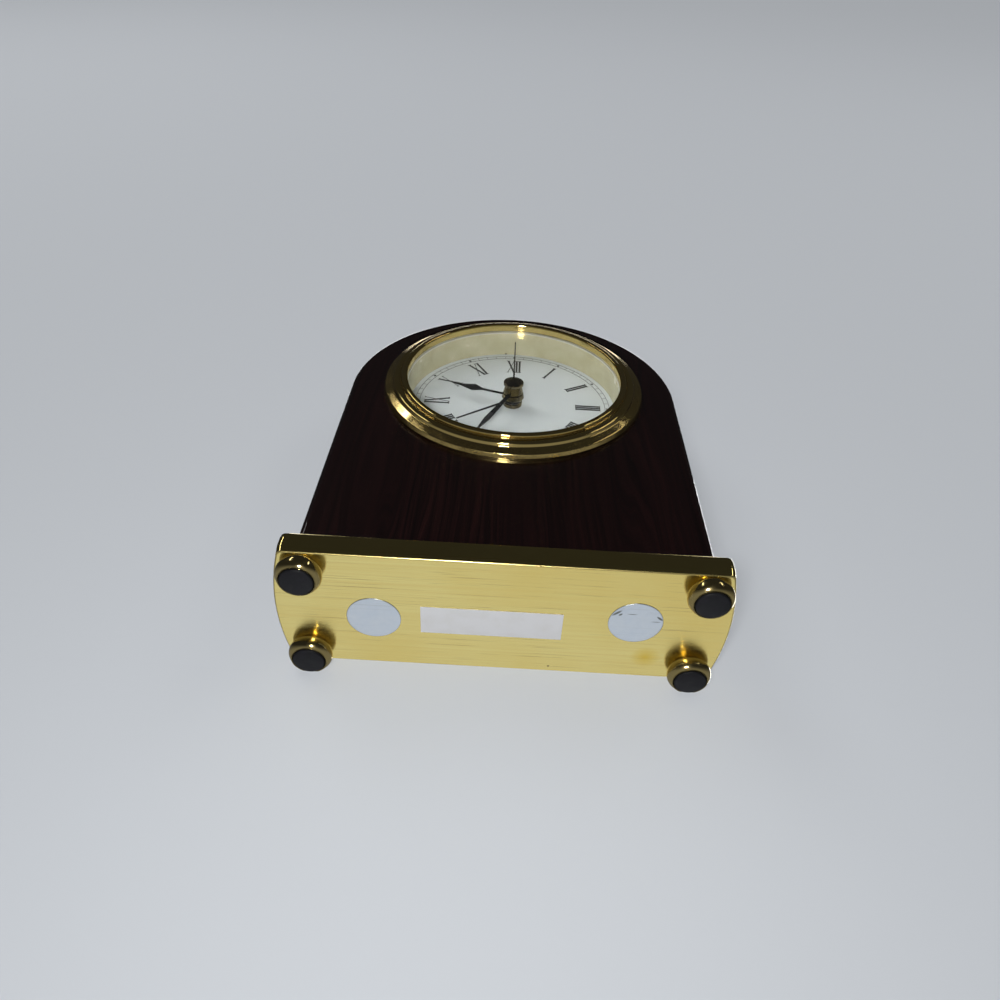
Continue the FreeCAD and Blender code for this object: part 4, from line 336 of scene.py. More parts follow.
def glass():
    """Clear flat mineral glass with a few faint smears; shadows pass through it."""
    finish = Finish("lens_glass", (0.985, 0.995, 0.99), 0.0, 0.0, Transmission_Weight=1.0, IOR=1.46)
    smear = finish.noise(60.0, 4.0, 0.6, stretch=(1, 1, 2.2))
    finish.link("Roughness", finish.ramp(smear, 0.62, 0.85, 0.0, 0.035))
    path = finish.add("ShaderNodeLightPath")
    clear = finish.add("ShaderNodeBsdfTransparent", {0: (0.97, 0.98, 0.975, 1.0)})
    blend = finish.add("ShaderNodeMixShader", {0: path.outputs["Is Shadow Ray"]})
    finish.tree.links.new(finish.shader.outputs[0], blend.inputs[1])
    finish.tree.links.new(clear.outputs[0], blend.inputs[2])
    finish.tree.links.new(blend.outputs[0], finish.tree.nodes["Material Output"].inputs["Surface"])
    return finish.material


def plastic(name, color, roughness, grain=1800.0, depth=0.01, clouding=0.14):
    """Moulded plastic: an even grain whose depth is in mm, slight clouding and a gloss that varies."""
    finish = Finish(name, color, 0.0, roughness)
    texture = finish.noise(grain, 3.0)
    cloud = finish.noise(120.0, 3.0, 0.6)
    darker = tuple((1 - clouding) * part for part in color)
    finish.link("Base Color", finish.mix(finish.ramp(cloud, 0.35, 0.7), darker, color))
    finish.link("Roughness", finish.ramp(cloud, 0.3, 0.7, roughness * 0.8, roughness * 1.2))
    finish.bump(texture, depth * MM, 0.6)
    return finish.material


def cream_plastic():
    """Khaki-cream moulded plastic with a satin gloss, slight clouding and one dark spot near twelve."""
    finish = Finish("cream_plastic", (0.58, 0.54, 0.36), 0.0, 0.22)
    cloud = finish.noise(120.0, 3.0, 0.6)
    color = finish.mix(finish.ramp(cloud, 0.35, 0.7), (0.52, 0.48, 0.31), (0.62, 0.58, 0.40))
    dark_spot = finish.ramp(finish.distance(FUNNEL_DARK_SPOT), 0.3 * MM, 0.55 * MM, 0.95, 0.0)
    finish.link("Base Color", finish.mix(dark_spot, color, (0.03, 0.025, 0.015)))
    finish.link("Roughness", finish.ramp(cloud, 0.3, 0.7, 0.16, 0.28))
    finish.bump(finish.noise(900.0, 3.0), 0.006 * MM, 0.6)
    return finish.material


def cell_wrap():
    """A dry cell's shrink wrap: charcoal, with a pale band round the end of its positive pole."""
    finish = Finish("cell_wrap", (0.06, 0.065, 0.075), 0.0, 0.22)
    low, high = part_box("battery")
    along = finish.add("ShaderNodeSeparateXYZ", {0: finish.place}).outputs[0]
    wrapped_share = 0.72
    start = low[0] + wrapped_share * (high[0] - low[0])
    band = finish.ramp(along, start, start + 0.2 * MM)
    cloud = finish.noise(150.0, 3.0, 0.6)
    color = finish.mix(band, (0.05, 0.055, 0.065), (0.52, 0.53, 0.52))
    scuffs = finish.ramp(cloud, 0.4, 0.7, 0.0, 0.12)
    finish.link("Base Color", finish.mix(scuffs, color, (0.02, 0.02, 0.02)))
    finish.link("Roughness", finish.ramp(cloud, 0.3, 0.7, 0.18, 0.3))
    finish.bump(finish.noise(900.0, 3.0), 0.004 * MM, 0.6)
    return finish.material


def copper_winding():
    """Enamelled copper wire wound round X: a fine screw of turns, with painted shade and highlight across
    each turn.
    """
    finish = Finish("copper_winding", (0.62, 0.24, 0.08), 1.0, 0.3)
    inputs = {"Vector": finish.scaled((1, 0.05, 0.05)), "Scale": 2400.0}
    turns = finish.add("ShaderNodeTexWave", inputs, bands_direction="X").outputs["Fac"]
    # Painted shade and highlight: the colour runs from dark to light across each round turn.
    finish.link("Base Color", finish.mix(turns, (0.34, 0.11, 0.035), (0.72, 0.30, 0.10)))
    finish.bump(turns, 0.06 * MM)
    return finish.material


# One material for each material slot, and the two brasses that the hands and the plate have beside theirs
MATERIALS = {
    "base_brass": brushed_brass(),
    "polished_brass": polished_brass("foot_brass", (0.58, 0.46, 0.20), 0.6, 2.0),
    "case_wood": lacquered_wood(),
    "black_rubber": rubber(),
    "silver_foil": foil(),
    "label_film": label_film(),
    "steel": steel(),
    "lens_glass": glass(),
    "clear_seal": plastic("clear_seal", (0.70, 0.68, 0.58), 0.4),
    "cream_plastic": cream_plastic(),
    "dial_white": plastic("dial_white", (0.74, 0.78, 0.79), 0.45, 1400.0, 0.006, 0.03),
    "dial_ink": plastic("dial_ink", (0.012, 0.012, 0.014), 0.4),
    "hand_black": plastic("hand_black", (0.010, 0.010, 0.011), 0.28),
    "hub_brass": polished_brass("hub_brass", (0.15, 0.125, 0.09), 0.4),
    "black_plastic": plastic("black_plastic", (0.030, 0.030, 0.032), 0.42, 2200.0, 0.03),
    "gear_plastic": plastic("gear_plastic", (0.78, 0.77, 0.71), 0.4),
    "movement_plastic": plastic("movement_plastic", (0.12, 0.12, 0.13), 0.45),
    "gear_brass": steel("turned_brass", (0.78, 0.58, 0.26), 0.22),
    "copper_wire": copper_winding(),
    "board_green": plastic("board_green", (0.03, 0.16, 0.07), 0.35),
    "cell_wrap": cell_wrap(),
    "spring_steel": steel("nickel_spring", (0.72, 0.71, 0.68), 0.22),
}
BRIGHT_PLATE = plate_edge_brass()


# Surfaces as grids of points

# Points of a grid this near become one, and faces whose edges are this short go, in metres
MERGED, COLLAPSED = 1e-7, 1e-8


def grid_faces(rows, columns, wrap_rows, wrap_columns):
    """Quads between neighbouring points of a grid, wrapped round where asked."""
    row = np.arange(rows if wrap_rows else rows - 1)
    column = np.arange(columns if wrap_columns else columns - 1)
    row, column = [part.ravel() for part in np.meshgrid(row, column, indexing="ij")]
    below = (row + 1) % rows
    beside = (column + 1) % columns
    return np.stack([row * columns + column, row * columns + beside,
                     below * columns + beside, below * columns + column], axis=1)


def grid_piece(name, grids, material, wrap_rows=False, wrap_columns=True):
    """A mesh from one or more grids of points; rows that shrink to one point close as poles.

    A grid's volume is a sum over its faces: their middles from the grid's middle, times their normals.
    Where it comes out negative, the faces are turned round, so that they point outwards.
    """
    places, quads, start = [], [], 0
    for points in grids if isinstance(grids, list) else [grids]:
        rows, columns = points.shape[:2]
        flat = points.reshape(-1, 3)
        faces = grid_faces(rows, columns, wrap_rows, wrap_columns)
        across = flat[faces[:, 2]] - flat[faces[:, 0]]
        along = flat[faces[:, 3]] - flat[faces[:, 1]]
        volume = np.sum((flat[faces].mean(axis=1) - flat.mean(axis=0)) * np.cross(across, along))
        quads.append((faces if volume > 0 else faces[:, ::-1]) + start)
        places.append(flat)
        start += len(flat)
    mesh = bpy.data.meshes.new(name)
    mesh.from_pydata(np.concatenate(places).tolist(), [], np.concatenate(quads).tolist())
    work = bmesh.new()
    work.from_mesh(mesh)
    bmesh.ops.remove_doubles(work, verts=work.verts, dist=MERGED)
    bmesh.ops.dissolve_degenerate(work, edges=work.edges, dist=COLLAPSED)
    work.to_mesh(mesh)
    work.free()
    mesh.materials.append(material)
    mesh.shade_smooth()
    piece = bpy.data.objects.new(name, mesh)
    bpy.context.scene.collection.objects.link(piece)
    piece.modifiers.new("flats", "WEIGHTED_NORMAL").weight = 100
    return piece


def rounded(corners, steps=5):
    """A closed or open outline whose corners (a, b, radius) become arcs, as an array of points.

    Each arc is tangent to both of its runs: it starts radius * tan(turn / 2) before the corner
    and follows the circle about the point where the two offset runs meet.
    """
    corners = np.asarray(corners, dtype=float)
    points = []
    count = len(corners)
    for index, (across, up, radius) in enumerate(corners):
        here = np.array([across, up])
        before = corners[index - 1, :2] - here
        after = corners[(index + 1) % count, :2] - here
        if radius <= 0:
            points.append(here[None])
            continue
        before, after = before / np.linalg.norm(before), after / np.linalg.norm(after)
        half = math.acos(np.clip(before @ after, -1, 1)) / 2
        bisector = (before + after) / np.linalg.norm(before + after)
        centre = here + bisector * radius / math.sin(half)
        start = here + before * radius / math.tan(half) - centre
        stop = here + after * radius / math.tan(half) - centre
        share = np.linspace(0, 1, steps + 1)[:, None]
        sweep = math.acos(np.clip(start @ stop / radius ** 2, -1, 1))
        arc = (np.sin((1 - share) * sweep) * start + np.sin(share * sweep) * stop) / math.sin(sweep)
        points.append(centre + arc)
    return np.concatenate(points)


def turned(name, profile, material, centre, axis="Y", segments=192, closed=False):
    """A surface of revolution: points (place along the axis, radius) carried round a circle."""
    along, radius = np.asarray(profile, dtype=float).T
    angle = np.arange(segments) * TURN / segments
    first = radius[:, None] * np.cos(angle)
    second = radius[:, None] * np.sin(angle)
    level = np.repeat(along[:, None], segments, axis=1)
    if axis == "Y":
        points = np.stack([first + centre[0], level + centre[1], second + centre[2]], axis=2)
    else:
        points = np.stack([first + centre[0], second + centre[1], level + centre[2]], axis=2)
    return grid_piece(name, points, material, wrap_rows=closed)


def stand_for(piece, node):
    """The piece rides on the node's body and is shown in its place."""
    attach(piece, BODY_OF[node])
    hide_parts(node)


# Copies of solids: points this near become one, faces this level are joined, edges this keen stay sharp
NEAR = 2e-6
LEVEL = math.radians(0.5)
KEEN = math.radians(32.0)


def smooth_copy(node, bevel):
    """A copy of a flat-shaded piece with merged points, smooth round faces and narrow bevels."""
    mesh = frame["nodes"][node].data.copy()
    work = bmesh.new()
    work.from_mesh(mesh)
    bmesh.ops.remove_doubles(work, verts=work.verts, dist=NEAR)
    bmesh.ops.dissolve_limit(work, angle_limit=LEVEL, verts=work.verts, edges=work.edges)
    for face in work.faces:
        face.smooth = True
    for edge in work.edges:
        edge.smooth = edge.calc_face_angle(0.0) < KEEN
    work.to_mesh(mesh)
    work.free()
    mesh.materials.clear()
    mesh.materials.append(MATERIALS[SLOT_OF[node]])
    piece = bpy.data.objects.new(node + "_finished", mesh)
    bpy.context.scene.collection.objects.link(piece)
    if bevel:
        edge_round = piece.modifiers.new("edge_round", "BEVEL")
        edge_round.width = bevel
        edge_round.segments = 2
        edge_round.limit_method = "ANGLE"
        edge_round.angle_limit = KEEN
        edge_round.harden_normals = True
    stand_for(piece, node)
    return piece


# Brass plate

# How far the ends bow out, and the corners' size with the shares of it at which their curves leave the
# end, bend, and meet the long side
PLATE_BULGE = 3.0 * MM
PLATE_CORNER = 2.0 * MM
CORNER_LEAVES, CORNER_BENDS, CORNER_MEETS = 1.05, 0.08, 0.85


def plate_outline(inset, swell):
    """Half an outline and its half turn: a bowed end, a corner, a straight long side and a corner.

    The end is an arc through the plate's widest point, and falls back by the bulge at its ends. A
    corner is a quadratic curve from the arc to the long side. An inset moves every side in by the
    same distance, and a swell moves the long sides out again.
    """
    half_width = PLATE_HIGH[0] - inset
    half_depth = PLATE_HIGH[1] - inset + swell
    radius = (half_depth ** 2 + PLATE_BULGE ** 2) / (2 * PLATE_BULGE)
    trim = PLATE_CORNER * CORNER_LEAVES / radius
    reach = math.asin(half_depth / radius) - trim
    angle = np.linspace(-reach, reach, 40)
    end = np.stack([half_width - radius + radius * np.cos(angle), radius * np.sin(angle)], axis=1)
    side_end = np.array([end[-1][0] - PLATE_CORNER * CORNER_MEETS, half_depth])
    control = np.array([end[-1][0] - PLATE_CORNER * CORNER_BENDS, half_depth])
    share = np.linspace(0, 1, 8)[1:-1, None]
    blend = (1 - share) ** 2 * end[-1] + 2 * share * (1 - share) * control + share ** 2 * side_end
    run = np.linspace(side_end[0], -side_end[0], 80)[:, None]
    side = np.concatenate([run, np.full_like(run, half_depth)], axis=1)
    half = np.concatenate([end, blend, side, blend[::-1] * [-1, 1]])
    return np.concatenate([half, -half])


def make_plate():
    """The plate as a stack of insets of its outline: down from the top's middle line to the underside's.

    Its two edges are quarter rounds. Below a flat share, the wall draws in with the square of the
    depth. The underside is brushed, and the rest is polished.
    """
    top_round, rim_round = 1.0 * MM, 0.5 * MM
    top_land, rim_land = 1.5 * MM, 0.6 * MM
    top_setback = 0.1 * MM
    swell = 0.3 * MM
    drawn_in, flat_share = 0.3 * MM, 0.425
    skin = 0.01 * MM
    top, low = PLATE_HIGH[2], PLATE_LOW[2]
    quarter = np.linspace(0, math.pi / 2, 7)
    wall = np.linspace(0, 1, 9)[1:-1]
    wall_top, wall_height = top - top_round, top - top_round - low - rim_round
    levels = np.concatenate([
        [top], top - top_round * (1 - np.cos(quarter)), wall_top - wall_height * wall,
        low + rim_round * (1 - np.sin(quarter)), [low],
    ])
    insets = np.concatenate([
        [top_round + top_land], top_round * (1 - np.sin(quarter)) + top_setback,
        drawn_in * (2 * np.clip(wall - flat_share, 0, None)) ** 2,
        rim_round * (1 - np.cos(quarter)) + swell, [rim_round + rim_land + swell],
    ])
    outlines = np.stack([plate_outline(inset, swell) for inset in insets])
    heights = np.broadcast_to(levels[:, None, None], outlines[:, :, :1].shape)
    rings = np.concatenate([outlines, heights], axis=2)
    middle_line = [1.0, 0.0, 1.0]
    points = np.concatenate([rings[:1] * middle_line, rings, rings[-1:] * middle_line])
    plate = grid_piece("brass_plate", points, MATERIALS["base_brass"])
    mesh = plate.data
    mesh.materials.append(BRIGHT_PLATE)
    centres = np.empty(len(mesh.polygons) * 3)
    mesh.polygons.foreach_get("center", centres)
    polished = centres.reshape(-1, 3)[:, 2] >= low + skin
    mesh.polygons.foreach_set("material_index", polished.astype(np.int32))
    # The brushing follows a UV map of the plate's own places
    brush = mesh.uv_layers.new(name="brush")
    corner = np.empty(len(mesh.loops), dtype=np.int32)
    mesh.loops.foreach_get("vertex_index", corner)
    place = np.empty(len(mesh.vertices) * 3)
    mesh.vertices.foreach_get("co", place)
    brush.data.foreach_set("uv", place.reshape(-1, 3)[corner][:, 1::-1].ravel())
    stand_for(plate, "base_plate")


def make_feet():
    """Turned brass buns with a lip round the pad, and domed rubber pads in them.

    With the height h from -1 to 1, a bun's radius is its widest one times the root of
    1 - 0.42 |h| ** 2.2. A pad's face rises with the radius to the power of 2.5.
    """
    play, lip_step = 0.05 * MM, 0.02 * MM
    mouth_round, lip_round = 0.15 * MM, 0.25 * MM
    seat_depth = 1.4 * MM
    dome_rise, pad_border = 0.35 * MM, 0.6 * MM
    pad_edge, pad_round = 0.45 * MM, 0.5 * MM
    height = np.linspace(-1, 1, 25)
    swell = np.sqrt(1 - 0.42 * np.abs(height) ** 2.2)
    share = np.linspace(0, 1, 12)
    for row in ("front", "back"):
        for side in ("left", "right"):
            low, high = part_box(f"foot_{row}_{side}")
            pad_low, pad_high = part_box(f"foot_pad_{row}_{side}")
            stand = ((low[0] + high[0]) / 2, (low[1] + high[1]) / 2, 0.0)
            widest = (high[0] - low[0]) / 2
            pad_radius = (pad_high[0] - pad_low[0]) / 2
            lip, shoulder = low[2], PLATE_LOW[2]
            level = (shoulder + lip) / 2 + height * (shoulder - lip) / 2
            belly = np.column_stack([level, widest * swell])
            seat = pad_radius + play
            rim = rounded([(lip, seat, mouth_round), (lip, belly[0][1] - lip_step, lip_round),
                           (*belly[2], 0.0)])
            inner = [(lip + seat_depth, 0.0), (lip + seat_depth, seat)]
            profile = np.concatenate([inner, rim[:-1], belly[2:], [(shoulder, 0.0)]])
            foot = turned(f"bun_{row}_{side}", profile, MATERIALS["polished_brass"], stand, "Z", 96)
            stand_for(foot, f"foot_{row}_{side}")
            dome = np.column_stack([dome_rise * share ** 2.5, share * (pad_radius - pad_border)])
            edge = rounded([(*dome[-1], 0.0), (pad_edge, pad_radius, pad_round),
                            (pad_high[2], pad_radius, 0.0), (pad_high[2], 0.0, 0.0)])
            profile = np.concatenate([dome, edge[1:]])
            pad = turned(f"pad_{row}_{side}", profile, MATERIALS["black_rubber"], stand, "Z", 72)
            stand_for(pad, f"foot_pad_{row}_{side}")


make_plate()
make_feet()


# Stickers under the plate

def make_foil_discs():
    """Thin discs whose rim lifts a little, the right one with two pressed dents near its front edge.

    The rim's lift grows with the radius to the power of 8. A dent is a bell: the lift falls with
    e to the minus square of the distance, measured in the dent's own half-length and half-width.
    """
    rim_lift, dent_lift = 0.03 * MM, 0.10 * MM
    dent_length, dent_width = 1.5 * MM, 0.55 * MM
    dent_reach = 0.86
    dents = {"left": (), "right": (-125.0, -45.0)}
    reach = np.linspace(0, 1, 40)[:, None]
    angle = (np.arange(144) * TURN / 144)[None]
    for side, turns in dents.items():
        low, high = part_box(f"screw_cover_{side}")
        centre = (low + high) / 2
        radius = (high[0] - low[0]) / 2
        across = radius * reach * np.cos(angle)
        along = radius * reach * np.sin(angle)
        lift = rim_lift * reach ** 8
        for degrees in turns:
            turn = math.radians(degrees)
            gap_along_x = (across - dent_reach * radius * math.cos(turn)) / dent_length
            gap_along_y = (along - dent_reach * radius * math.sin(turn)) / dent_width
            lift = lift + dent_lift * np.exp(-gap_along_x ** 2 - gap_along_y ** 2)
        level = np.broadcast_to(low[2] + lift, across.shape)
        under = np.stack([centre[0] + across, centre[1] + along, level], axis=2)
        over = under.copy()
        over[:, :, 2] = high[2]
        sheet = np.concatenate([under, over[::-1]])
        stand_for(grid_piece(f"foil_disc_{side}", sheet, MATERIALS["silver_foil"]), f"screw_cover_{side}")


make_foil_discs()


# Wooden case

def case_outline(inset):
    """The arch at an inset from its sides and top: base line, upright sides and a half circle."""
    half = CASE_HIGH[0] - inset
    bottom = CASE_LOW[2]
    spring = CASE_HIGH[2] - CASE_HIGH[0]
    side = np.linspace(0, 1, 41)[:, None]
    right = np.array([half, bottom]) + side * [0.0, spring - bottom]
    angle = np.linspace(0, math.pi, 181)[1:-1, None]
    arch = np.concatenate([half * np.cos(angle), spring + half * np.sin(angle)], axis=1)
    left = right[::-1] * [-1, 1]
    base = np.linspace(-half, half, 101)[1:-1, None]
    base = np.concatenate([base, np.full_like(base, bottom)], axis=1)
    return np.concatenate([right, arch, left, base])


def make_case():
    """Rings of one closed section: through the bore, over the front, round the sides and over the back.

    A ring is either an inset of the arch's outline or a circle about the dial's axis with a point in
    line with each point of the outline. The outer edges and the bore's mouths are quarter rounds.
    """
    edge, mouth = 1.6 * MM, 0.3 * MM
    bore = 42.5 * MM
    axis = [0.0, DIAL_Z]
    front, back = CASE_FRONT, CASE_BACK
    outline = case_outline(edge)
    direction = (outline - axis) / np.linalg.norm(outline - axis, axis=1, keepdims=True)
    quarter = np.linspace(0, math.pi / 2, 9)

    def ring(places, level):
        """Points (x, z) at one depth."""
        return np.insert(places, 1, level, axis=1)

    def circle(widening=0.0):
        """The bore's circle, widened."""
        return axis + direction * (bore + widening)

    def face(shares, level):
        """Rings between the bore's mouth and the outline."""
        return [ring(circle(mouth) * (1 - share) + outline * share, level) for share in shares]

    rings = [ring(circle(), back - mouth), ring(circle(), front + mouth)]
    for turn in quarter[1:]:
        rings.append(ring(circle(mouth * (1 - math.cos(turn))), front + mouth * (1 - math.sin(turn))))
    rings += face((0.3, 0.7), front)
    for turn in quarter:
        inset = edge * (1 - math.sin(turn))
        rings.append(ring(case_outline(inset), front + edge * (1 - math.cos(turn))))
    for turn in quarter:
        inset = edge * (1 - math.cos(turn))
        rings.append(ring(case_outline(inset), back - edge * (1 - math.sin(turn))))
    rings += face((0.7, 0.3), back)
    for turn in quarter[:-1]:
        rings.append(ring(circle(mouth * (1 - math.sin(turn))), back - mouth * (1 - math.cos(turn))))
    case = grid_piece("arch_case", np.stack(rings), MATERIALS["case_wood"], wrap_rows=True)
    stand_for(case, "case_body")


make_case()


# Bezel, glass and the parts behind it

def make_bezel():
    """A turned ring: bead at the glass, cove, roll, then a stepped outer slope down to the wood.

    The profile's corners are (depth, radius, round) in millimetres, and the wood's face has depth 0.
    """
    outer = BEZEL_HIGH[0] / MM
    opening, seat, cavity = 38.1, 39.0, 44.05
    glass, shelf = -3.0, -0.8
    bead, cove, roll, step, rim, foot = -5.7, -4.3, -4.4, -3.2, -2.2, -0.9
    bead_edge, cove_edge, roll_edge, step_edge, rim_edge = 40.4, 40.9, 43.0, 43.5, 46.1
    corners = [
        (glass, opening, 0.1), (bead, opening, 0.75), (bead, bead_edge, 0.9), (cove, bead_edge, 0.2),
        (cove, cove_edge, 0.15), (roll, cove_edge, 0.1), (roll, roll_edge, 0.8), (step, step_edge, 0.4),
        (rim, rim_edge, 0.7), (foot, outer, 0.25), (0.0, outer, 0.05), (0.0, cavity, 0.05),
        (shelf, cavity, 0.05), (shelf, seat, 0.05), (glass, seat, 0.05),
    ]
    profile = rounded(corners, steps=6) * MM
    place = (0.0, CASE_FRONT, DIAL_Z)
    stand_for(turned("turned_bezel", profile, bezel_brass(), place, segments=256, closed=True), "bezel")


def make_lens():
    """A flat glass disc with ground edges."""
    radius = LENS_HIGH[0]
    thick = LENS_HIGH[1] - LENS_LOW[1]
    ground = 0.2 * MM
    corners = [(0.0, 0.0, 0.0), (0.0, radius, ground), (thick, radius, ground), (thick, 0.0, 0.0)]
    place = (0.0, LENS_LOW[1], DIAL_Z)
    stand_for(turned("front_glass", rounded(corners, 3), MATERIALS["lens_glass"], place), "lens")


def make_reflector():
    """The cream funnel: a smooth slope from the lip at the glass down to the dial, with a soft foot."""
    depth = RING_HIGH[1] - RING_LOW[1]
    front_bore, back_bore = 38.3 * MM, 37.7 * MM
    lip = RING_HIGH[0]
    lip_depth, wall = 0.8 * MM, 1.2 * MM
    soft, foot, crisp = 0.3 * MM, 0.15 * MM, 0.1 * MM
    corners = [
        (0.0, front_bore, soft), (depth, back_bore, foot), (depth, back_bore + wall, crisp),
        (lip_depth, front_bore + wall, crisp), (lip_depth, lip, crisp), (0.0, lip, crisp),
    ]
    place = (0.0, RING_LOW[1], DIAL_Z)
    funnel = turned("cream_funnel", rounded(corners, 4), MATERIALS["cream_plastic"], place, closed=True)
    stand_for(funnel, "reflector_ring")


make_bezel()
make_lens()
make_reflector()


# Hands

# Faces nearer to the dial's axis than this are the hands' bosses
HUB_RADIUS = 4.2 * MM


def gild_hub(piece):
    """The bosses and the cap round the dial's axis are polished dark brass, the blades black."""
    mesh = piece.data
    mesh.materials.append(MATERIALS["hub_brass"])
    centres = np.empty(len(mesh.polygons) * 3)
    mesh.polygons.foreach_get("center", centres)
    centres = centres.reshape(-1, 3)
    inner = np.hypot(centres[:, 0], centres[:, 2] - DIAL_Z) < HUB_RADIUS
    mesh.polygons.foreach_set("material_index", inner.astype(np.int32))


# The hour hand's direction, clockwise from twelve, and places along it. Points within the reach of the
# spade's end are drawn out by a length, and those within the reach of its middle are widened by a factor.
HOUR_DEGREES = 287.0
SPADE_MIDDLE, SPADE_END = 15.3 * MM, 18.6 * MM
SPADE_REACH = 0.6 * MM
SPADE_DRAWN = 1.6 * MM
SPADE_WIDENED = 1.3


def fuller_spade(piece):
    """The hour hand's spade, drawn out towards the tip and widened.

    A point's place along the blade is its share of the blade's direction, and the rest is its place
    across. Corners at the spade's outer end move along, and corners at its middle move across.
    """
    mesh = piece.data
    place = np.empty(len(mesh.vertices) * 3)
    mesh.vertices.foreach_get("co", place)
    place = place.reshape(-1, 3)
    turn = math.radians(HOUR_DEGREES)
    onward = np.array([math.sin(turn), math.cos(turn)])
    sideways = np.array([math.cos(turn), -math.sin(turn)])
    flat = place[:, [0, 2]] - [0.0, DIAL_Z]
    along, across = flat @ onward, flat @ sideways
    along = np.where(np.abs(along - SPADE_END) < SPADE_REACH, along + SPADE_DRAWN, along)
    across = np.where(np.abs(along - SPADE_MIDDLE) < SPADE_REACH, across * SPADE_WIDENED, across)
    place[:, [0, 2]] = along[:, None] * onward + across[:, None] * sideways + [0.0, DIAL_Z]
    mesh.vertices.foreach_set("co", place.ravel())
    mesh.update()


# The back, and all that is shown as a finished copy of its solid

def make_back_screws():
    """Domed heads with a cross recess, on plain shanks.

    The head's height falls with the square of the radius. The recess is a smooth step down
    wherever either of two crossed lines is nearer than half the driver blade's width.
    """
    low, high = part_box("back_screws")
    head, shank = 1.7 * MM, 0.85 * MM
    dome = 0.3 * MM
    blade, blade_side = 0.2 * MM, 0.12 * MM
    reach, reach_end = 1.1 * MM, 0.2 * MM
    recess = 0.45 * MM
    top, tip = high[1], low[1]

    def step(value, start, width):
        """0 up to the start, 1 past the width, and 3 s ** 2 - 2 s ** 3 between them."""
        share = np.clip((value - start) / width, 0, 1)
        return share * share * (3 - 2 * share)

    angle = np.arange(120) * TURN / 120
    radius = np.concatenate([np.linspace(0, head, 34), [head, shank, shank, 0.0]])[:, None]
    level = top - dome * (radius / head) ** 2
    level[-4:] = np.array([HOUSING_BACK, HOUSING_BACK, tip + shank, tip])[:, None]
    across, up = radius * np.cos(angle), radius * np.sin(angle)
    nearest = np.minimum(np.abs(across), np.abs(up))
    dip = recess * (1 - step(nearest, blade, blade_side)) * (1 - step(radius, reach, reach_end))
    dip[-4:] = 0.0
    places = [(high[0] - head, high[2] - head), (low[0] + head, high[2] - head), (0.0, low[2] + head)]
    grids = [np.stack([across + x, level - dip, up + z], axis=2) for x, z in places]
    stand_for(grid_piece("cross_head_screws", grids, MATERIALS["steel"]), "back_screws")


make_back_screws()

# Widths of the copies' bevels in millimetres
SMOOTHED = {
    "blank_label": 0.03, "dial": 0.05, "dial_nut": 0.1, "numerals": 0.0, "minute_track": 0.0,
    "alarm_hand": 0.05, "hour_hand": 0.08, "minute_hand": 0.08, "second_hand": 0.06,
    "back_cover": 0.15, "battery_door": 0.15, "time_knob": 0.12, "alarm_knob": 0.12, "alarm_switch": 0.15,
    "case_screws": 0.08, "insert_housing": 0.15, "grip_ring": 0.1, "battery": 0.2,
    "contact_plus": 0.05, "contact_minus": 0.05,
}
for node, width in SMOOTHED.items():
    finished = smooth_copy(node, width * MM)
    if node in ("hour_hand", "minute_hand", "second_hand"):
        gild_hub(finished)
    if node == "hour_hand":
        fuller_spade(finished)

# The solids themselves get their slots' materials too, also those inside
for node, part in frame["nodes"].items():
    for slot in part.material_slots:
        slot.link = "OBJECT"
        slot.material = MATERIALS[SLOT_OF[node]]


# Stage, lights and camera

# A pale surface is lit by one share of its colour and glows by the other. Between two distances from
# the clock, the floor fades into the sky, and the backdrop stands just behind the clock's knobs.
STAGE_REACH = 4.0
SKY = (0.93, 0.96, 1.0)
SKY_LEVEL = 0.8
PALE = (0.66, 0.69, 0.73)
LIT_SHARE, GLOW_SHARE = 0.45, 0.52
FADE_START, FADE_END = 0.3, 1.6
WALL_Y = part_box("time_knob")[1][1] + 0.3 * MM


def stage_material(name, fades):
    """A pale surface that only eyes in front of it see, part lit and part glowing.

    Light passes through it. Where it fades, it turns into the sky's own colour with the distance
    from the clock.
    """
    finish = Finish(name, PALE)
    tree = finish.tree
    tree.nodes.remove(finish.shader)
    reach = finish.add("ShaderNodeVectorMath", {0: finish.place}, operation="LENGTH").outputs["Value"]
    far = finish.ramp(reach, FADE_START, FADE_END, 0.0, 1.0 if fades else 0.0)
    sky = tuple(SKY_LEVEL * part for part in SKY)
    lit = finish.mix(far, tuple(LIT_SHARE * part for part in PALE), (0.0, 0.0, 0.0))
    glowing = finish.mix(far, tuple(GLOW_SHARE * part for part in PALE), sky)
    diffuse = finish.add("ShaderNodeBsdfDiffuse", {"Color": lit})
    glow = finish.add("ShaderNodeEmission", {"Color": glowing, "Strength": 1.0})
    both = finish.add("ShaderNodeAddShader", {0: diffuse.outputs[0], 1: glow.outputs[0]})
    path = finish.add("ShaderNodeLightPath").outputs["Is Camera Ray"]
    behind = finish.add("ShaderNodeNewGeometry").outputs["Backfacing"]
    front = finish.math("SUBTRACT", path, behind)
    front.node.use_clamp = True
    clear = finish.add("ShaderNodeBsdfTransparent")
    mix = finish.add("ShaderNodeMixShader", {0: front, 1: clear.outputs[0], 2: both.outputs[0]})
    tree.links.new(mix.outputs[0], tree.nodes["Material Output"].inputs["Surface"])
    return finish.material


def stage_plane(name, corners, fades=False):
    """A flat part of the stage from its four corners."""
    mesh = bpy.data.meshes.new(name)
    mesh.from_pydata(corners, [], [(0, 1, 2, 3)])
    mesh.materials.append(stage_material(name, fades))
    plane = bpy.data.objects.new(name, mesh)
    bpy.context.scene.collection.objects.link(plane)


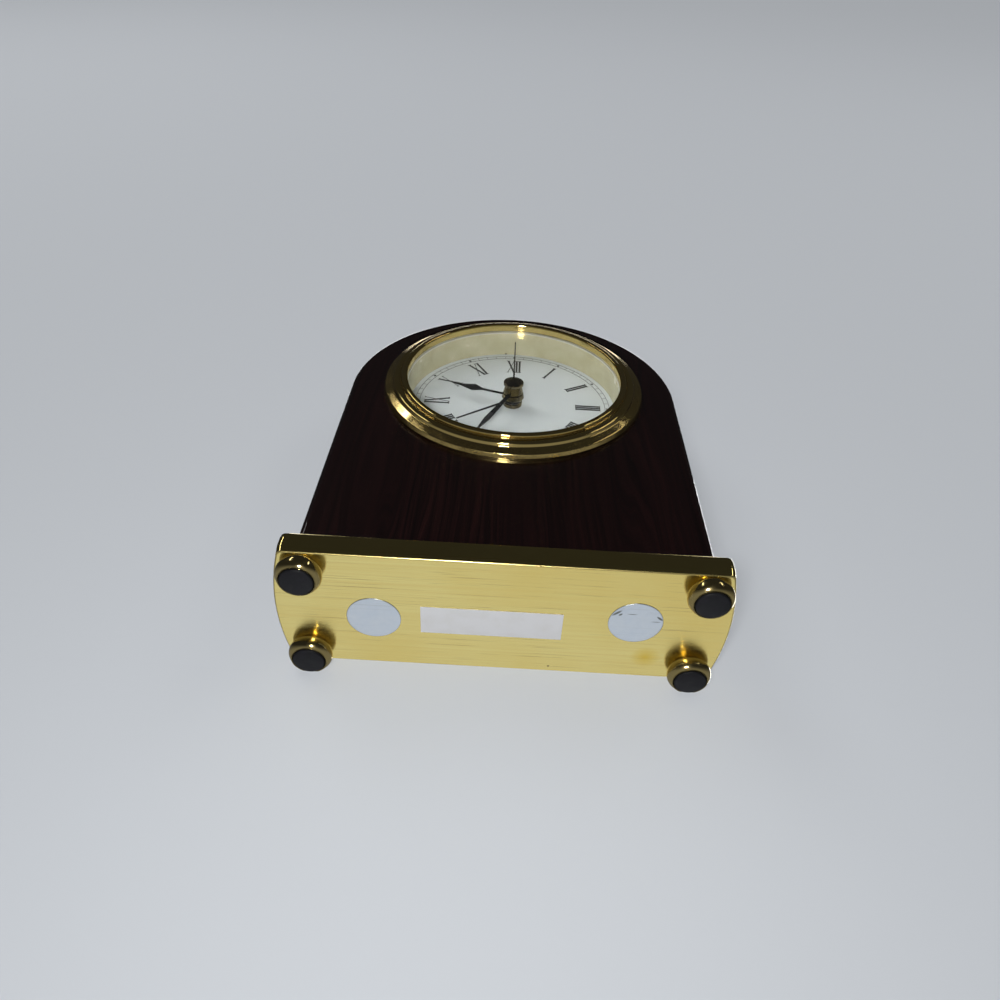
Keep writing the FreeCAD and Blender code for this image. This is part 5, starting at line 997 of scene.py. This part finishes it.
square = [(-STAGE_REACH, -STAGE_REACH), (STAGE_REACH, -STAGE_REACH), (STAGE_REACH, STAGE_REACH),
          (-STAGE_REACH, STAGE_REACH)]
stage_plane("floor", [(x, y, 0.0) for x, y in square], fades=True)
stage_plane("backdrop", [(x, WALL_Y, z) for x, z in square])


LIGHTS_AIM = Vector((0.0, 0.0, 80 * MM))


def area_light(name, place, width, height, power, shines="everywhere"):
    """A light turned to the clock's middle, in metres and watts.

    It may shine for mirrors alone, or for all but them.
    """
    data = bpy.data.lights.new(name, "AREA")
    data.shape = "RECTANGLE"
    data.size = width
    data.size_y = height
    data.energy = power
    light = bpy.data.objects.new(name, data)
    bpy.context.scene.collection.objects.link(light)
    light.location = place
    light.rotation_euler = (LIGHTS_AIM - Vector(place)).to_track_quat("-Z", "Y").to_euler()
    light.visible_glossy = shines != "without mirrors"
    light.visible_diffuse = shines != "in mirrors"


area_light("key_by_camera", (-0.027, -0.185, -0.165), 0.03, 0.03, 0.42)
area_light("overhead", (0.0, 0.35, 1.0), 0.7, 0.7, 4.5)
area_light("front_left", (-0.75, -0.95, 0.75), 0.5, 0.8, 4.4, "without mirrors")
area_light("left_strip", (-0.70, -0.88, 0.70), 0.07, 0.7, 1.0, "in mirrors")
area_light("front_right", (0.8, -0.9, 0.5), 0.4, 0.7, 1.8, "without mirrors")
area_light("right_strip", (0.74, -0.83, 0.46), 0.05, 0.6, 0.6, "in mirrors")
area_light("back_right", (0.55, 0.95, 0.95), 0.6, 0.6, 7.5)


# What mirrors see of the world: its light rises in steps with a direction's lean to the back and down.
# Each step goes from the first lean to the second and adds light from the third number to the fourth.
LEAN = (0.0, 0.75, -0.66)
LEAN_STEPS = ((-0.25, 0.35, 0.03, 0.26), (0.76, 0.94, 0.0, 0.50))


def make_world():
    """Pale behind and below the clock, dim in front and above; to the camera it is an even pale sky.

    The lean is a direction's dot product with LEAN, and the steps are smooth and added up.
    """
    world = bpy.data.worlds.new("studio")
    bpy.context.scene.world = world
    world.use_nodes = True
    tree = world.node_tree
    tree.nodes.clear()
    output = tree.nodes.new("ShaderNodeOutputWorld")
    direction = tree.nodes.new("ShaderNodeTexCoord")
    lean = tree.nodes.new("ShaderNodeVectorMath")
    lean.operation = "DOT_PRODUCT"
    lean.inputs[1].default_value = LEAN
    tree.links.new(direction.outputs["Generated"], lean.inputs[0])
    total = tree.nodes.new("ShaderNodeMath")
    for addend, numbers in zip(total.inputs, LEAN_STEPS):
        step = tree.nodes.new("ShaderNodeMapRange")
        step.interpolation_type = "SMOOTHSTEP"
        for socket, value in zip(("From Min", "From Max", "To Min", "To Max"), numbers):
            step.inputs[socket].default_value = value
        tree.links.new(lean.outputs["Value"], step.inputs["Value"])
        tree.links.new(step.outputs["Result"], addend)
    path = tree.nodes.new("ShaderNodeLightPath")
    level = tree.nodes.new("ShaderNodeMix")
    tree.links.new(path.outputs["Is Camera Ray"], level.inputs[0])
    tree.links.new(total.outputs[0], level.inputs[2])
    level.inputs[3].default_value = SKY_LEVEL
    sky = tree.nodes.new("ShaderNodeBackground")
    sky.inputs["Color"].default_value = (*SKY, 1.0)
    tree.links.new(level.outputs[0], sky.inputs["Strength"])
    tree.links.new(sky.outputs[0], output.inputs["Surface"])


make_world()

# The photograph's camera: in front of the clock and below it, looking up and back at 51 degrees
CAMERA_PLACE = (-2.20 * MM, -163.19 * MM, -145.53 * MM)
CAMERA_TURN = (141.531, -2.044, -2.443)
CAMERA_LENS = 28.53
camera_data = bpy.data.cameras.new("camera")
camera_data.lens = CAMERA_LENS
camera_data.sensor_width = 36.0
camera_data.clip_start = 0.01
camera = bpy.data.objects.new("camera", camera_data)
bpy.context.scene.collection.objects.link(camera)
camera.location = CAMERA_PLACE
camera.rotation_euler = Euler([math.radians(angle) for angle in CAMERA_TURN], "XYZ")
bpy.context.scene.camera = camera
bpy.context.scene.view_settings.view_transform = "Standard"
